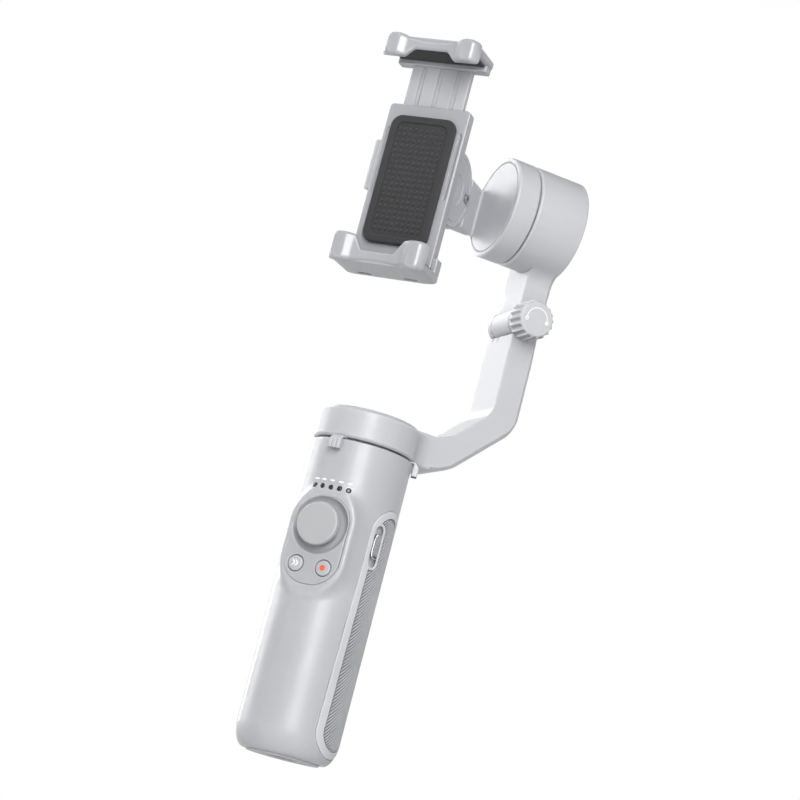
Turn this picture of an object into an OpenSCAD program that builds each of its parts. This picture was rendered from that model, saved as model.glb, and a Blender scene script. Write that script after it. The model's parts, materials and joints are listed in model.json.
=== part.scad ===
// Foldable three-axis phone gimbal: a round handle, a pan motor, a bent arm with a
// locking fold hinge, a roll motor, a tilt motor and a spring clamp for the phone.
// +Z runs up the handle on the pan axis, the controls face -Y, and the origin is the
// mouth of the tripod thread in the middle of the base. Millimetres.

/* [Handle] */
// Outer radius of the handle
handle_r = 17.3; // [17.1:0.1:17.5]
// Height of the handle's top rim above its base
handle_h = 105.3; // [104:0.1:105.3]
// Inner radius of the handle shell
handle_bore_r = 15.5; // [15.3:0.1:15.7]
// Radius of the flat foot, where the base plate sits
foot_r = 12; // [11:0.5:13]
// Height of the rounding above the foot
foot_round_h = 8; // [5:0.5:10]

/* [Controls] */
// Height of the joystick's centre
joystick_z = 75.5; // [74.5:0.1:76]
// Radius of the joystick's cap
joystick_r = 7.25; // [6.5:0.05:7.5]
// Distance of the control plate's face in front of the pan axis
control_face = 17.8; // [17.6:0.1:18]
// Width of the control plate
control_w = 20; // [19.5:0.1:20.5]
// Height of the two round buttons
button_z = 61.6; // [61:0.1:62.2]
// Radius of the two round buttons
button_r = 2.7; // [2.4:0.05:2.9]
// Height of the row of indicator lights
led_z = 88.5; // [88.2:0.1:92]
// Number of indicator lights
led_count = 5; // [3:1:6]

/* [Side grips] */
// Height of the lowest point of each side grip
grip_low_z = 3; // [2:0.5:6]
// Height of the highest point of each side grip
grip_high_z = 87; // [84:0.5:88]
// Width of each side grip
grip_w = 17.3; // [16:0.1:18]

/* [Arm] */
// Angle of the arm's plane from straight right, towards the back
arm_yaw = 45; // [45:1:45]
// Width of the arm
arm_w = 20; // [19.5:0.1:20.5]
// Distance of the fold hinge from the pan axis
hinge_e = 45; // [44.5:0.1:45.5]
// Height of the fold hinge
hinge_z = 166.7; // [165:0.1:168]
// Radius of the fold hinge's barrel
barrel_r = 5.75; // [5.5:0.05:5.9]
// Radius of the lock knob over its flutes
knob_r = 6.5; // [6:0.1:7.5]
// Number of flutes on the lock knob
knob_flutes = 18; // [12:1:22]

/* [Phone clamp] */
// Height of the roll axis, the tilt axis and the middle of the clamp
clamp_z = 202.6; // [202:0.1:203.5]
// Gap between the two jaws
opening = 71.5; // [71:0.1:72]
// Width of the jaws
jaw_w = 36.6; // [35:0.2:38]
// Width of the notch in each jaw's lip, at its narrow end
notch_w = 12; // [9:0.5:13]

/* [Hidden] */
$fn = 72;
eps = 0.01;

// Handle and its controls
foot_plate_h = 1;
floor_h = 4;
insert_r = 5.5;
insert_h = 9.5;
thread_r = 2.55;
thread_depth = 8;
control_h = 30;
control_mid_z = 70.5;
control_corner = 9;
control_t = 2.6;
island_rim = 1.6;
island_face = control_face - 0.6;
dish_r = 9.2;
dish_depth = 1.4;
joystick_face = 20.8;
joystick_pivot_y = -12.2;
joystick_cap_t = 2.4;
joystick_stem_r = 1.4;
ring_in_r = 2;
ring_out_r = 3.1;
ring_t = 1.6;
stub_r = 0.5;
carrier_y = -14.2;
carrier_w = 11;
carrier_h = 12;
carrier_bore_r = 4.2;
stem_hole_r = 3.4;
cap_hole_r = 4.6;
button_x = 5;
button_play = 0.08;
button_stand = 0.5;
button_flange = 0.4;
button_room = 0.8;
switch_w = 4.8;
led_r = 0.9;
led_pitch = 10.3;
led_len = 2.45;
led_in_r = 14.9;
grip_in_r = 16.2;
grip_out_r = handle_r + 0.1;
grip_mid_z = (grip_low_z + grip_high_z) / 2;
slider_turn = -16;
slider_mid_z = 73.65;
slot_len = 14.1;
slot_w = 3.7;
slider_len = 8;
slider_w = 2.6;
slider_out_r = 18.3;
slider_in_r = 15;
slider_foot_r = [14.1, 15.1];
slider_foot_play = 0.8;
battery_r = 9.2;
battery_y = 4;
battery_low_z = 12.5;
battery_high_z = 77.5;
holder_wall = 1.3;
holder_end = 1.6;
board_y = -7.3;
board_t = 1.2;
board_w = 18;
board_low_z = 20;
board_h = 67;
chip_w = 8;
chip_h = 7;
chip_places = [28, 40];
usb_z = 22;
usb_w = 9;
usb_h = 3.3;
usb_in = 14.6;
usb_len = 2.6;
usb_wall = 0.3;
usb_floor = 0.6;
foot_hole_r = 1.2;
foot_hole_place = 8.8;

// One motor, used three times: its base is at z = 0 and its rotor end at motor_len
bearing_r = 3.2;
shaft_r = 1.45;
shaft_play = 0.05;
tube_r = 4.2;
tube_h = 11;
stator_r = 9.4;
magnet_in_r = 10;
bell_in_r = 11.3;
bell_r = 12.3;
bell_floor = 12;
bell_low = 2.5;
motor_len = 13.5;
tooth_count = 12;
tooth_w = 1.4;
tooth_tip_t = 0.9;
stator_hub_t = 1.4;
stator_low = 3;
stator_h = 6;
winding_t = 0.5;
magnet_count = 14;
magnet_gap = 0.5;
bearing_places = [0.5, 8.5];
bearing_t = 2;
screw_head_r = 1.4;
screw_head_h = 0.9;
screw_shank_r = 0.7;
screw_len = 2.4;
pan_base_z = 93;
pan_mount_t = 1.5;
roll_base_e = 49;
tilt_base_x = -2;

// Pan head and arm
lug_ring_z = 105.6;
cap_low_z = 106.1;
cap_high_z = 117;
cap_r = 17.35;
cap_round = 1.2;
lug_in_r = 17.7;
lug_out_r = 19.8;
lug_w = 4.2;
lug_drop = 4.6;
lug_ring_in_r = 13;
lug_turn = -96;
cap_chamfer = 0.8;
strap_start = 10;
bend_radii = [16, 12, 6, 10];
knuckle_h = 14;
strap_end = 12;
knob_flute_r = 0.75;
knob_step = 0.6;
knob_rim = 0.9;
arm_back = -17;
arm_front = arm_back + arm_w;
arm_in_e = 41.3;
arm_out_e = 51.8;
arm_top_z = 118;
diagonal_in = 90.8;
diagonal_out = 77;
blend_r = 6;
ear_t = 2.8;
ear_gap = 0.3;
hinge_gap = 0.3;
hinge_relief = 7.2;
pin_r = 2;
pin_play = 0.05;
barrel_back = arm_back + ear_t + ear_gap;
knob_low = arm_front + 0.3;
knob_high = 12;

// Roll motor, link and tilt motor
head_r = 18.2;
head_bore_r = 15.4;
head_low_e = 33;
cover_step = 0.8;
roll_cover_r = 14.5;
roll_screw_place = 10;
tilt_screw_place = 9;
bracket_screw_place = 6;
flange_low_e = 24;
flange_high_e = 32.6;
tilt_y = 3;
tilt_r = 14;
tilt_bore_r = 12.8;
tilt_left_x = -14.2;
tilt_right_x = 7;
neck_left_x = -7;
neck_h = 19;
neck_root_y = 12;
neck_front_a = 1;
neck_back_a = -14;
hub_r = 8;
bracket_r = 13;
bracket_low_x = -19;
bracket_high_x = -16;
foot_front_y = -12.9;
foot_back_y = -11.4;

// Clamp
jaw_front_y = -31.8;
lip_back_y = -28.4;
frame_front_y = -18.2;
frame_back_y = -14;
jaw_low_z = clamp_z - opening / 2;
jaw_high_z = clamp_z + opening / 2;
pad_t = 0.85;
jaw_t = 4.6;
floor_w = 34;
lower_lobe_h = 4.9;
upper_lobe_h = 3;
lobe_slope = 3;
cheek_h = 4.7;
frame_w = 30;
frame_low_z = jaw_low_z - pad_t;
frame_high_z = 223.6;
channel_w = 22.8;
channel_front_y = -17;
channel_low_z = 170.5;
slide_w = 22.2;
slide_front_y = -16.7;
slide_back_y = -14.3;
slide_low_z = 190;
cover_t = 1.1;
spring_x = 6;
spring_r = 1;
spring_wire_r = 0.28;
spring_coils = 12;
slide_high_z = jaw_high_z + 3;
wall_low_z = jaw_high_z - 1.3;
wall_side = 1.5;
pad_w = 31;
pad_play = 0.1;
rest_w = 24;
rest_h = 46;
rest_t = 2.2;
rest_z = 196;
heel_round = 2.5;
tip_round = 3;
shoulder_round = 2;
dip_round = 1.5;

// ---- Outlines -------------------------------------------------------------------

// Points that round the corner at b, between a and c, with radius r
function corner(a, b, c, r, steps = 6) =
    let (u = (a - b) / norm(a - b))
    let (v = (c - b) / norm(c - b))
    let (half = acos(u * v) / 2)
    let (middle = b + (u + v) / norm(u + v) * r / sin(half))
    let (first = b + u * r / tan(half) - middle)
    let (side = sign(u[0] * v[1] - u[1] * v[0]))
    [for (i = [0 : steps])
        let (t = -side * (180 - 2 * half) * i / steps)
        middle + [first[0] * cos(t) - first[1] * sin(t), first[0] * sin(t) + first[1] * cos(t)]];

// Quarter of an ellipse round a centre, from one angle to another
function arc(centre, rx, ry, from, to, steps = 8) =
    [for (i = [0 : steps])
        let (t = from + (to - from) * i / steps)
        centre + [rx * cos(t), ry * sin(t)]];

module rounded_rect(w, h, r) {
    square([w - 2 * r, h], center = true);
    square([w, h - 2 * r], center = true);
    for (x = [-1, 1], y = [-1, 1])
        translate([x * (w / 2 - r), y * (h / 2 - r)])
            circle(r);
}

module stadium(w, h) {
    square([w, h - w], center = true);
    for (y = [-1, 1])
        translate([0, y * (h - w) / 2])
            circle(w / 2);
}

module ring(r_out, r_in, h) {
    linear_extrude(h)
        difference() {
            circle(r_out);
            circle(r_in);
        }
}

// ---- Placing --------------------------------------------------------------------

// Extrudes towards the front from the plane y = at
module from_front(at) {
    translate([0, at, 0])
        rotate([90, 0, 0])
            children();
}

// Extrudes towards +X from the plane x = at, drawing in Y and Z
module from_side(at) {
    translate([at, 0, 0])
        rotate([90, 0, 90])
            children();
}

// Draws in the arm's plane, across (e) and up, and extrudes towards its front face
module arm_plane(at = 0) {
    rotate([0, 0, arm_yaw])
        rotate([90, 0, 0])
            translate([0, 0, at])
                children();
}

// Points the motor's axis, from its base to its rotor end
module on_pan_axis() {
    translate([0, 0, pan_base_z])
        children();
}

module on_roll_axis(e = roll_base_e) {
    rotate([0, 0, arm_yaw])
        translate([e, 0, clamp_z])
            rotate([0, -90, 0])
                children();
}

module on_tilt_axis(x = tilt_base_x) {
    translate([x, tilt_y, clamp_z])
        rotate([0, -90, 0])
            children();
}

// ---- One motor's pieces ---------------------------------------------------------

module motor_tube() {
    ring(tube_r, bearing_r, tube_h);
}

module motor_bearings() {
    for (z = bearing_places)
        translate([0, 0, z])
            ring(bearing_r, shaft_r + shaft_play, bearing_t);
}

module motor_stator() {
    translate([0, 0, stator_low])
        linear_extrude(stator_h)
            difference() {
                union() {
                    circle(tube_r + stator_hub_t);
                    for (i = [0 : tooth_count - 1])
                        rotate(i * 360 / tooth_count)
                            translate([tube_r, -tooth_w / 2])
                                square([stator_r - tube_r - 0.5, tooth_w]);
                    difference() {
                        circle(stator_r);
                        circle(stator_r - tooth_tip_t);
                        for (i = [0 : tooth_count - 1])
                            rotate((i + 0.5) * 360 / tooth_count)
                                translate([stator_r - 2, -0.5])
                                    square([4, 1]);
                    }
                }
                circle(tube_r);
            }
}

module motor_windings() {
    winding_in = tube_r + 1.6;
    winding_out = stator_r - 1;
    for (i = [0 : tooth_count - 1])
        rotate([0, 0, i * 360 / tooth_count])
            translate([winding_in, 0, stator_low])
                difference() {
                    translate([0, -tooth_w / 2 - winding_t, -winding_t])
                        cube([
                            winding_out - winding_in,
                            tooth_w + 2 * winding_t,
                            stator_h + 2 * winding_t]);
                    translate([-1, -tooth_w / 2, 0])
                        cube([stator_r, tooth_w, stator_h]);
                }
}

module motor_bell() {
    difference() {
        translate([0, 0, bell_low])
            cylinder(r = bell_r, h = motor_len - bell_low);
        translate([0, 0, bell_low - 1])
            cylinder(r = bell_in_r, h = bell_floor - bell_low + 1);
        cylinder(r = shaft_r, h = motor_len + 1);
    }
}

module motor_magnets() {
    translate([0, 0, stator_low])
        linear_extrude(stator_h + 0.5)
            difference() {
                circle(bell_in_r);
                circle(magnet_in_r);
                for (i = [0 : magnet_count - 1])
                    rotate(i * 360 / magnet_count)
                        translate([magnet_in_r - 1, -magnet_gap / 2])
                            square([4, magnet_gap]);
            }
}

module motor_shaft() {
    translate([0, 0, 0.3])
        cylinder(r = shaft_r, h = motor_len + 0.2);
}

// Cap screw that lies along -z from its seat, with a hexagonal socket in the head
module cap_screw() {
    difference() {
        union() {
            cylinder(r = screw_head_r, h = screw_head_h);
            translate([0, 0, -screw_len])
                cylinder(r = screw_shank_r, h = screw_len + eps);
        }
        translate([0, 0, screw_head_h - 0.5])
            cylinder(r = screw_shank_r, h = 1, $fn = 6);
    }
}

module screw_hole() {
    translate([0, 0, -screw_len])
        cylinder(r = screw_shank_r, h = screw_len + 3);
}

// ---- Handle ---------------------------------------------------------------------

module grip_outline(extra = 0) {
    translate([0, grip_mid_z])
        stadium(grip_w + extra, grip_high_z - grip_low_z + extra);
}

module slider_slot(w, h, r_in, r_out) {
    rotate([0, 0, slider_turn])
        from_side(r_in)
            linear_extrude(r_out - r_in)
                translate([0, slider_mid_z])
                    stadium(w, h);
}

module control_outline(extra = 0) {
    translate([0, control_mid_z])
        rounded_rect(control_w + extra, control_h + extra, control_corner + extra / 2);
}

module control_holes(play = 0) {
    for (x = [-button_x, button_x])
        from_front(0)
            translate([x, button_z, 0])
                cylinder(r = button_r + play, h = 20);
}

module handle_body() {
    rotate_extrude()
        polygon(concat(
            [[0, 0]],
            arc([foot_r, foot_round_h], handle_r - foot_r, foot_round_h, -90, 0),
            [[handle_r, handle_h], [0, handle_h]]));
    from_front(-10)
        linear_extrude(island_face - 10)
            control_outline(2 * island_rim);
}

module handle_shell() {
    color([0.8, 0.8, 0.82])
        difference() {
            handle_body();
            translate([0, 0, floor_h])
                cylinder(r = handle_bore_r, h = handle_h);
            translate([0, 0, -1])
                cylinder(r = insert_r, h = insert_h + 0.5);
            translate([0, 0, -1])
                cylinder(r = foot_r, h = foot_plate_h + 1);
            from_front(-(control_face - control_t))
                linear_extrude(5)
                    control_outline();
            control_holes(button_room);
            from_front(0)
                translate([0, joystick_z, 0])
                    cylinder(r = cap_hole_r, h = 20);
            for (side = [0, 180])
                rotate([0, 0, side])
                    intersection() {
                        difference() {
                            cylinder(r = handle_r + 2, h = handle_h);
                            translate([0, 0, -1])
                                cylinder(r = grip_in_r, h = handle_h + 2);
                        }
                        from_side(8)
                            linear_extrude(12)
                                grip_outline();
                    }
            slider_slot(slider_w + slider_foot_play, slot_len, 10, 20);
            for (i = [0 : led_count - 1])
                rotate([0, 0, (i - (led_count - 1) / 2) * led_pitch])
                    from_front(-10)
                        translate([0, led_z, 0])
                            cylinder(r = led_r, h = 10);
            rotate([0, 0, 180])
                from_front(-10)
                    linear_extrude(10)
                        translate([0, usb_z])
                            rotate(90)
                                stadium(usb_h, usb_w);
        }
}

module base_plate() {
    color([0.35, 0.36, 0.38])
        difference() {
            ring(foot_r, insert_r, foot_plate_h);
            for (i = [0 : 2])
                rotate([0, 0, 60 + 120 * i])
                    translate([foot_hole_place, 0, -1])
                        cylinder(r = foot_hole_r, h = foot_plate_h + 2);
        }
}

module tripod_insert() {
    color([0.72, 0.6, 0.36])
        difference() {
            cylinder(r = insert_r, h = insert_h);
            translate([0, 0, -1])
                cylinder(r = thread_r, h = thread_depth + 1);
        }
}

module grip_panel() {
    intersection() {
        ring(grip_out_r, grip_in_r, handle_h);
        from_side(8)
            linear_extrude(12)
                grip_outline();
    }
}

module grip_left() {
    color([0.66, 0.67, 0.66])
        rotate([0, 0, 180])
            grip_panel();
}

module grip_right() {
    color([0.66, 0.67, 0.66])
        difference() {
            grip_panel();
            slider_slot(slot_w, slot_len, 10, 20);
        }
}

module control_plate() {
    color([0.72, 0.73, 0.74])
        difference() {
            from_front(-(control_face - control_t))
                linear_extrude(control_t)
                    control_outline();
            from_front(-(control_face - dish_depth))
                translate([0, joystick_z, 0])
                    cylinder(r1 = dish_r - 0.7, r2 = dish_r, h = dish_depth + eps);
            from_front(0)
                translate([0, joystick_z, 0])
                    cylinder(r = stem_hole_r, h = 20);
            control_holes(button_play);
        }
}

module led_lenses() {
    color([0.15, 0.15, 0.16])
        for (i = [0 : led_count - 1])
            rotate([0, 0, (i - (led_count - 1) / 2) * led_pitch])
                from_front(-led_in_r)
                    translate([0, led_z, 0])
                        cylinder(r = led_r, h = led_len);
}

module usb_port() {
    color([0.7, 0.7, 0.72])
        rotate([0, 0, 180])
            translate([0, 0, usb_z])
                from_front(-usb_in)
                    difference() {
                        linear_extrude(usb_len)
                            rotate(90)
                                stadium(usb_h, usb_w);
                        translate([0, 0, usb_floor])
                            linear_extrude(usb_len)
                                rotate(90)
                                    stadium(usb_h - 2 * usb_wall, usb_w - 2 * usb_wall);
                    }
}

module battery_cell() {
    color([0.2, 0.45, 0.6])
        translate([0, battery_y, battery_low_z])
            cylinder(r = battery_r, h = battery_high_z - battery_low_z);
}

module battery_holder() {
    battery_h = battery_high_z - battery_low_z;
    color([0.2, 0.2, 0.22])
        translate([0, battery_y, battery_low_z - holder_end])
            difference() {
                cylinder(r = battery_r + holder_wall, h = battery_h + 2 * holder_end);
                translate([0, 0, holder_end])
                    cylinder(r = battery_r, h = battery_h);
                translate([-20, -20, holder_end])
                    cube([40, 20, battery_h]);
                translate([-20, -20 - battery_r, -1])
                    cube([40, 20, battery_h + 2 * holder_end + 2]);
            }
}

module control_board() {
    color([0.1, 0.35, 0.2]) {
        translate([-board_w / 2, board_y - board_t, board_low_z])
            cube([board_w, board_t, board_h]);
        for (z = chip_places)
            translate([-chip_w / 2, board_y - board_t - 1, z])
                cube([chip_w, 1, chip_h]);
    }
}

module button_switches() {
    color([0.25, 0.25, 0.27])
        for (x = [-button_x, button_x])
            translate([x - switch_w / 2, carrier_y + button_room, button_z - switch_w / 2])
                cube([switch_w, board_y - board_t - carrier_y - button_room, switch_w]);
}

module joystick_base() {
    color([0.3, 0.3, 0.32])
        difference() {
            translate([-carrier_w / 2, carrier_y, joystick_z - carrier_h / 2])
                cube([carrier_w, board_y - board_t - carrier_y, carrier_h]);
            from_front(-9.6)
                translate([0, joystick_z, 0])
                    cylinder(r = carrier_bore_r, h = 10);
            from_side(-4.9)
                translate([joystick_pivot_y, joystick_z, 0])
                    cylinder(r = stub_r + shaft_play, h = 9.8);
        }
}

module joystick_ring() {
    color([0.55, 0.56, 0.58])
        difference() {
            union() {
                from_front(joystick_pivot_y + ring_t / 2)
                    translate([0, joystick_z, 0])
                        ring(ring_out_r, ring_in_r, ring_t);
                for (side = [-1, 1])
                    from_side(side * 3.8 - 0.9)
                        translate([joystick_pivot_y, joystick_z, 0])
                            cylinder(r = stub_r, h = 1.8);
            }
            translate([0, joystick_pivot_y, joystick_z - 5])
                cylinder(r = stub_r + shaft_play, h = 10);
        }
}

module joystick_cap() {
    cap_back = joystick_face - joystick_cap_t;
    color([0.75, 0.76, 0.77]) {
        from_front(0)
            translate([0, joystick_z, 0])
                rotate_extrude()
                    polygon(concat(
                        [[0, -joystick_pivot_y - 1], [joystick_stem_r, -joystick_pivot_y - 1]],
                        [[joystick_stem_r, cap_back], [joystick_r - 0.5, cap_back]],
                        [[joystick_r, cap_back + 0.5]],
                        arc([joystick_r - 1, joystick_face - 1], 1, 1, 0, 90, 4),
                        [[0, joystick_face]]));
        for (side = [-1, 1])
            translate([0, joystick_pivot_y, joystick_z + side * 2 - 0.8])
                cylinder(r = stub_r, h = 1.6);
    }
}

module round_button(x) {
    from_front(carrier_y)
        translate([x, button_z, 0]) {
            cylinder(r = button_r + button_flange, h = 0.8);
            cylinder(r = button_r, h = control_face + button_stand + carrier_y);
        }
}

module mode_button() {
    color([0.86, 0.86, 0.87])
        round_button(-button_x);
}

module record_button() {
    color([0.86, 0.86, 0.87])
        round_button(button_x);
}

module zoom_slider() {
    color([0.85, 0.86, 0.88]) {
        slider_slot(slider_w, slider_len, slider_in_r, slider_out_r);
        slider_slot(slider_w + slider_foot_play, slider_len + 3, slider_foot_r[0], slider_foot_r[1]);
    }
}

// ---- Pan motor and pan head -----------------------------------------------------

module pan_mount() {
    color([0.62, 0.63, 0.65])
        on_pan_axis() {
            motor_tube();
            translate([0, 0, -pan_mount_t])
                cylinder(r = handle_bore_r, h = pan_mount_t);
        }
}

module pan_bearings() {
    color([0.7, 0.71, 0.73])
        on_pan_axis()
            motor_bearings();
}

module pan_stator() {
    color([0.3, 0.31, 0.33])
        on_pan_axis()
            motor_stator();
}

module pan_windings() {
    color([0.75, 0.42, 0.2])
        on_pan_axis()
            motor_windings();
}

module pan_bell() {
    color([0.55, 0.56, 0.58])
        on_pan_axis()
            motor_bell();
}

module pan_magnets() {
    color([0.4, 0.4, 0.42])
        on_pan_axis()
            motor_magnets();
}

module pan_shaft() {
    color([0.75, 0.76, 0.78])
        on_pan_axis()
            motor_shaft();
}

module lug_ring() {
    color([0.7, 0.71, 0.73]) {
        translate([0, 0, lug_ring_z])
            ring(cap_r - 0.4, lug_ring_in_r, cap_low_z - lug_ring_z);
        for (i = [0 : 2])
            rotate([0, 0, lug_turn + 120 * i]) {
                translate([cap_r - 1, -lug_w / 2, lug_ring_z])
                    cube([lug_out_r - cap_r + 1, lug_w, cap_low_z - lug_ring_z]);
                translate([lug_in_r, -lug_w / 2, cap_low_z - lug_drop])
                    cube([lug_out_r - lug_in_r, lug_w, lug_drop]);
            }
    }
}

// Outline of the bent arm in its plane, from the pan axis to above the hinge
module lower_outline(top) {
    in_low = [arm_top_z - diagonal_in, arm_top_z];
    in_high = [arm_in_e, arm_in_e + diagonal_in];
    out_low = [cap_low_z - diagonal_out, cap_low_z];
    out_high = [arm_out_e, arm_out_e + diagonal_out];
    polygon(concat(
        [[strap_start, cap_low_z]],
        corner([strap_start, cap_low_z], out_low, out_high, bend_radii[0]),
        corner(out_low, out_high, [arm_out_e, top], bend_radii[1]),
        [[arm_out_e, top], [arm_in_e, top]],
        corner([arm_in_e, top], in_high, in_low, bend_radii[2]),
        corner(in_high, in_low, [strap_start, arm_top_z], bend_radii[3]),
        [[strap_start, arm_top_z]]));
}

// Fills the plan corner between the round head and the arm's front face
module head_blend() {
    reach = sqrt((cap_r + blend_r) ^ 2 - (arm_front + blend_r) ^ 2);
    turn = atan2(arm_front + blend_r, reach);
    rotate([0, 0, arm_yaw])
        translate([0, 0, cap_low_z])
            linear_extrude(cap_high_z - cap_low_z)
                mirror([0, 1])
                    difference() {
                        polygon([
                            [strap_start, 0],
                            [reach, arm_front - 1],
                            [reach, arm_front],
                            [reach, arm_front + blend_r],
                            [cap_r * cos(turn), cap_r * sin(turn)]]);
                        translate([reach, arm_front + blend_r])
                            circle(blend_r);
                    }
}

// The ears' and barrel's outline: round at the hinge, blending into the arm's faces
module knuckle(up) {
    translate([hinge_e, hinge_z]) {
        circle(barrel_r);
        mirror([0, up > 0 ? 0 : 1])
            polygon([
                [0, 0],
                [barrel_r, 0],
                [arm_out_e - hinge_e, knuckle_h],
                [arm_in_e - hinge_e, knuckle_h],
                [arm_in_e - hinge_e, 0]]);
    }
}

// Room for the other arm's knuckle: a cradle inside and a square step outside
module knuckle_room(up) {
    translate([hinge_e, hinge_z]) {
        circle(barrel_r + hinge_gap);
        mirror([0, up > 0 ? 0 : 1])
            translate([0, -20])
                square([20, 20 + hinge_relief]);
        translate([-20, up > 0 ? -20 : 0])
            square([40, 20]);
    }
}

module lower_arm() {
    color([0.8, 0.81, 0.83])
        difference() {
            union() {
                translate([0, 0, cap_low_z])
                    rotate_extrude()
                        polygon(concat(
                            [[0, 0], [cap_r - cap_chamfer, 0], [cap_r, cap_chamfer]],
                            arc([cap_r - cap_round, cap_high_z - cap_low_z - cap_round],
                                cap_round, cap_round, 0, 90, 5),
                            [[0, cap_high_z - cap_low_z]]));
                head_blend();
                arm_plane(arm_back)
                    linear_extrude(arm_w)
                        lower_outline(hinge_z - strap_end);
                for (a = [arm_back, arm_front - ear_t])
                    arm_plane(a)
                        linear_extrude(ear_t)
                            knuckle(-1);
                arm_plane(arm_back)
                    linear_extrude(arm_w)
                        difference() {
                            knuckle(-1);
                            knuckle_room(-1);
                        }
            }
            translate([0, 0, cap_low_z - 1])
                cylinder(r = bell_r + 0.3, h = 1.4);
            translate([0, 0, cap_low_z - 1])
                cylinder(r = shaft_r, h = 2);
            arm_plane(arm_back - 1)
                translate([hinge_e, hinge_z])
                    cylinder(r = pin_r, h = arm_w + 2);
        }
}

module hinge_pin() {
    color([0.6, 0.61, 0.63])
        arm_plane(arm_back)
            translate([hinge_e, hinge_z])
                cylinder(r = pin_r, h = knob_high - 2.5 - arm_back);
}

module lock_knob() {
    color([0.74, 0.75, 0.76])
        arm_plane(knob_low)
            translate([hinge_e, hinge_z])
                difference() {
                    union() {
                        linear_extrude(knob_high - knob_low - knob_step)
                            difference() {
                                circle(knob_r);
                                for (i = [0 : knob_flutes - 1])
                                    rotate(i * 360 / knob_flutes)
                                        translate([knob_r + 0.15, 0])
                                            circle(knob_flute_r);
                            }
                        cylinder(r = knob_r - knob_rim, h = knob_high - knob_low);
                    }
                    translate([0, 0, -1])
                        cylinder(r = pin_r + pin_play, h = knob_high - knob_low - 1);
                }
}

// ---- Upper arm and roll motor ---------------------------------------------------

module roll_screw_places() {
    for (i = [0 : 2])
        on_roll_axis(arm_out_e + cover_step)
            rotate([180, 0, 30 + 120 * i])
                translate([roll_screw_place, 0, 0])
                    children();
}

module upper_arm() {
    strap_low_z = hinge_z + strap_end;
    color([0.82, 0.83, 0.85])
        difference() {
            union() {
                arm_plane(barrel_back)
                    linear_extrude(arm_front - barrel_back)
                        translate([arm_in_e, strap_low_z])
                            square([arm_out_e - arm_in_e, clamp_z - strap_low_z]);
                arm_plane(barrel_back)
                    linear_extrude(arm_front - barrel_back)
                        difference() {
                            knuckle(1);
                            knuckle_room(1);
                        }
                arm_plane(barrel_back)
                    linear_extrude(arm_w - 2 * (ear_t + ear_gap))
                        knuckle(1);
                on_roll_axis(arm_out_e)
                    cylinder(r = head_r, h = arm_out_e - head_low_e);
            }
            on_roll_axis()
                cylinder(r = head_bore_r, h = roll_base_e - head_low_e + 1);
            roll_screw_places()
                screw_hole();
            arm_plane(arm_back - 1)
                translate([hinge_e, hinge_z])
                    cylinder(r = pin_r + pin_play, h = arm_w + 2);
        }
}

module roll_cover() {
    color([0.6, 0.61, 0.63])
        difference() {
            on_roll_axis(arm_out_e + cover_step)
                cylinder(r = roll_cover_r, h = cover_step);
            roll_screw_places()
                screw_hole();
        }
}

module roll_cover_screws() {
    color([0.5, 0.5, 0.52])
        roll_screw_places()
            cap_screw();
}

module roll_bearings() {
    color([0.7, 0.71, 0.73])
        on_roll_axis()
            motor_bearings();
}

module roll_stator() {
    color([0.3, 0.31, 0.33])
        on_roll_axis() {
            motor_stator();
            motor_tube();
        }
}

module roll_windings() {
    color([0.75, 0.42, 0.2])
        on_roll_axis()
            motor_windings();
}

module roll_bell() {
    color([0.55, 0.56, 0.58])
        on_roll_axis()
            motor_bell();
}

module roll_magnets() {
    color([0.4, 0.4, 0.42])
        on_roll_axis()
            motor_magnets();
}

module roll_shaft() {
    color([0.75, 0.76, 0.78])
        on_roll_axis()
            motor_shaft();
}

// ---- Roll link and tilt motor ---------------------------------------------------

// A point just inside the roll flange's front face, in plan
function flange_point(a) =
    (flange_low_e + 1) * [cos(arm_yaw), sin(arm_yaw)] + a * [sin(arm_yaw), -cos(arm_yaw)];

module roll_link() {
    bell_face_e = roll_base_e - motor_len;
    color([0.8, 0.81, 0.83])
        difference() {
            union() {
                on_roll_axis(flange_high_e)
                    cylinder(r = head_r, h = flange_high_e - flange_low_e);
                on_roll_axis(bell_face_e)
                    cylinder(r = hub_r, h = bell_face_e - flange_high_e + 1);
                translate([0, 0, clamp_z - neck_h / 2])
                    linear_extrude(neck_h)
                        polygon([
                            [neck_left_x, neck_root_y],
                            [tilt_right_x, neck_root_y],
                            [tilt_right_x, tilt_y + tilt_r - 0.4],
                            flange_point(neck_front_a),
                            flange_point(neck_back_a)]);
            }
            on_tilt_axis(tilt_right_x + cover_step)
                cylinder(r = tilt_r, h = 60);
            on_roll_axis()
                cylinder(r = shaft_r, h = motor_len + 1);
        }
}

module tilt_housing() {
    color([0.78, 0.79, 0.81])
        difference() {
            on_tilt_axis(tilt_right_x)
                cylinder(r = tilt_r, h = tilt_right_x - tilt_left_x);
            on_tilt_axis()
                cylinder(r = tilt_bore_r, h = 20);
            tilt_screw_places()
                screw_hole();
        }
}

module tilt_screw_places() {
    for (i = [0 : 2])
        on_tilt_axis(tilt_right_x + cover_step)
            rotate([180, 0, 90 + 120 * i])
                translate([tilt_screw_place, 0, 0])
                    children();
}

module tilt_cover() {
    color([0.6, 0.61, 0.63])
        difference() {
            on_tilt_axis(tilt_right_x + cover_step)
                cylinder(r = tilt_r - 1, h = cover_step);
            tilt_screw_places()
                screw_hole();
        }
}

module tilt_cover_screws() {
    color([0.5, 0.5, 0.52])
        tilt_screw_places()
            cap_screw();
}

module tilt_bearings() {
    color([0.7, 0.71, 0.73])
        on_tilt_axis()
            motor_bearings();
}

module tilt_stator() {
    color([0.3, 0.31, 0.33])
        on_tilt_axis() {
            motor_stator();
            motor_tube();
        }
}

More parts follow.
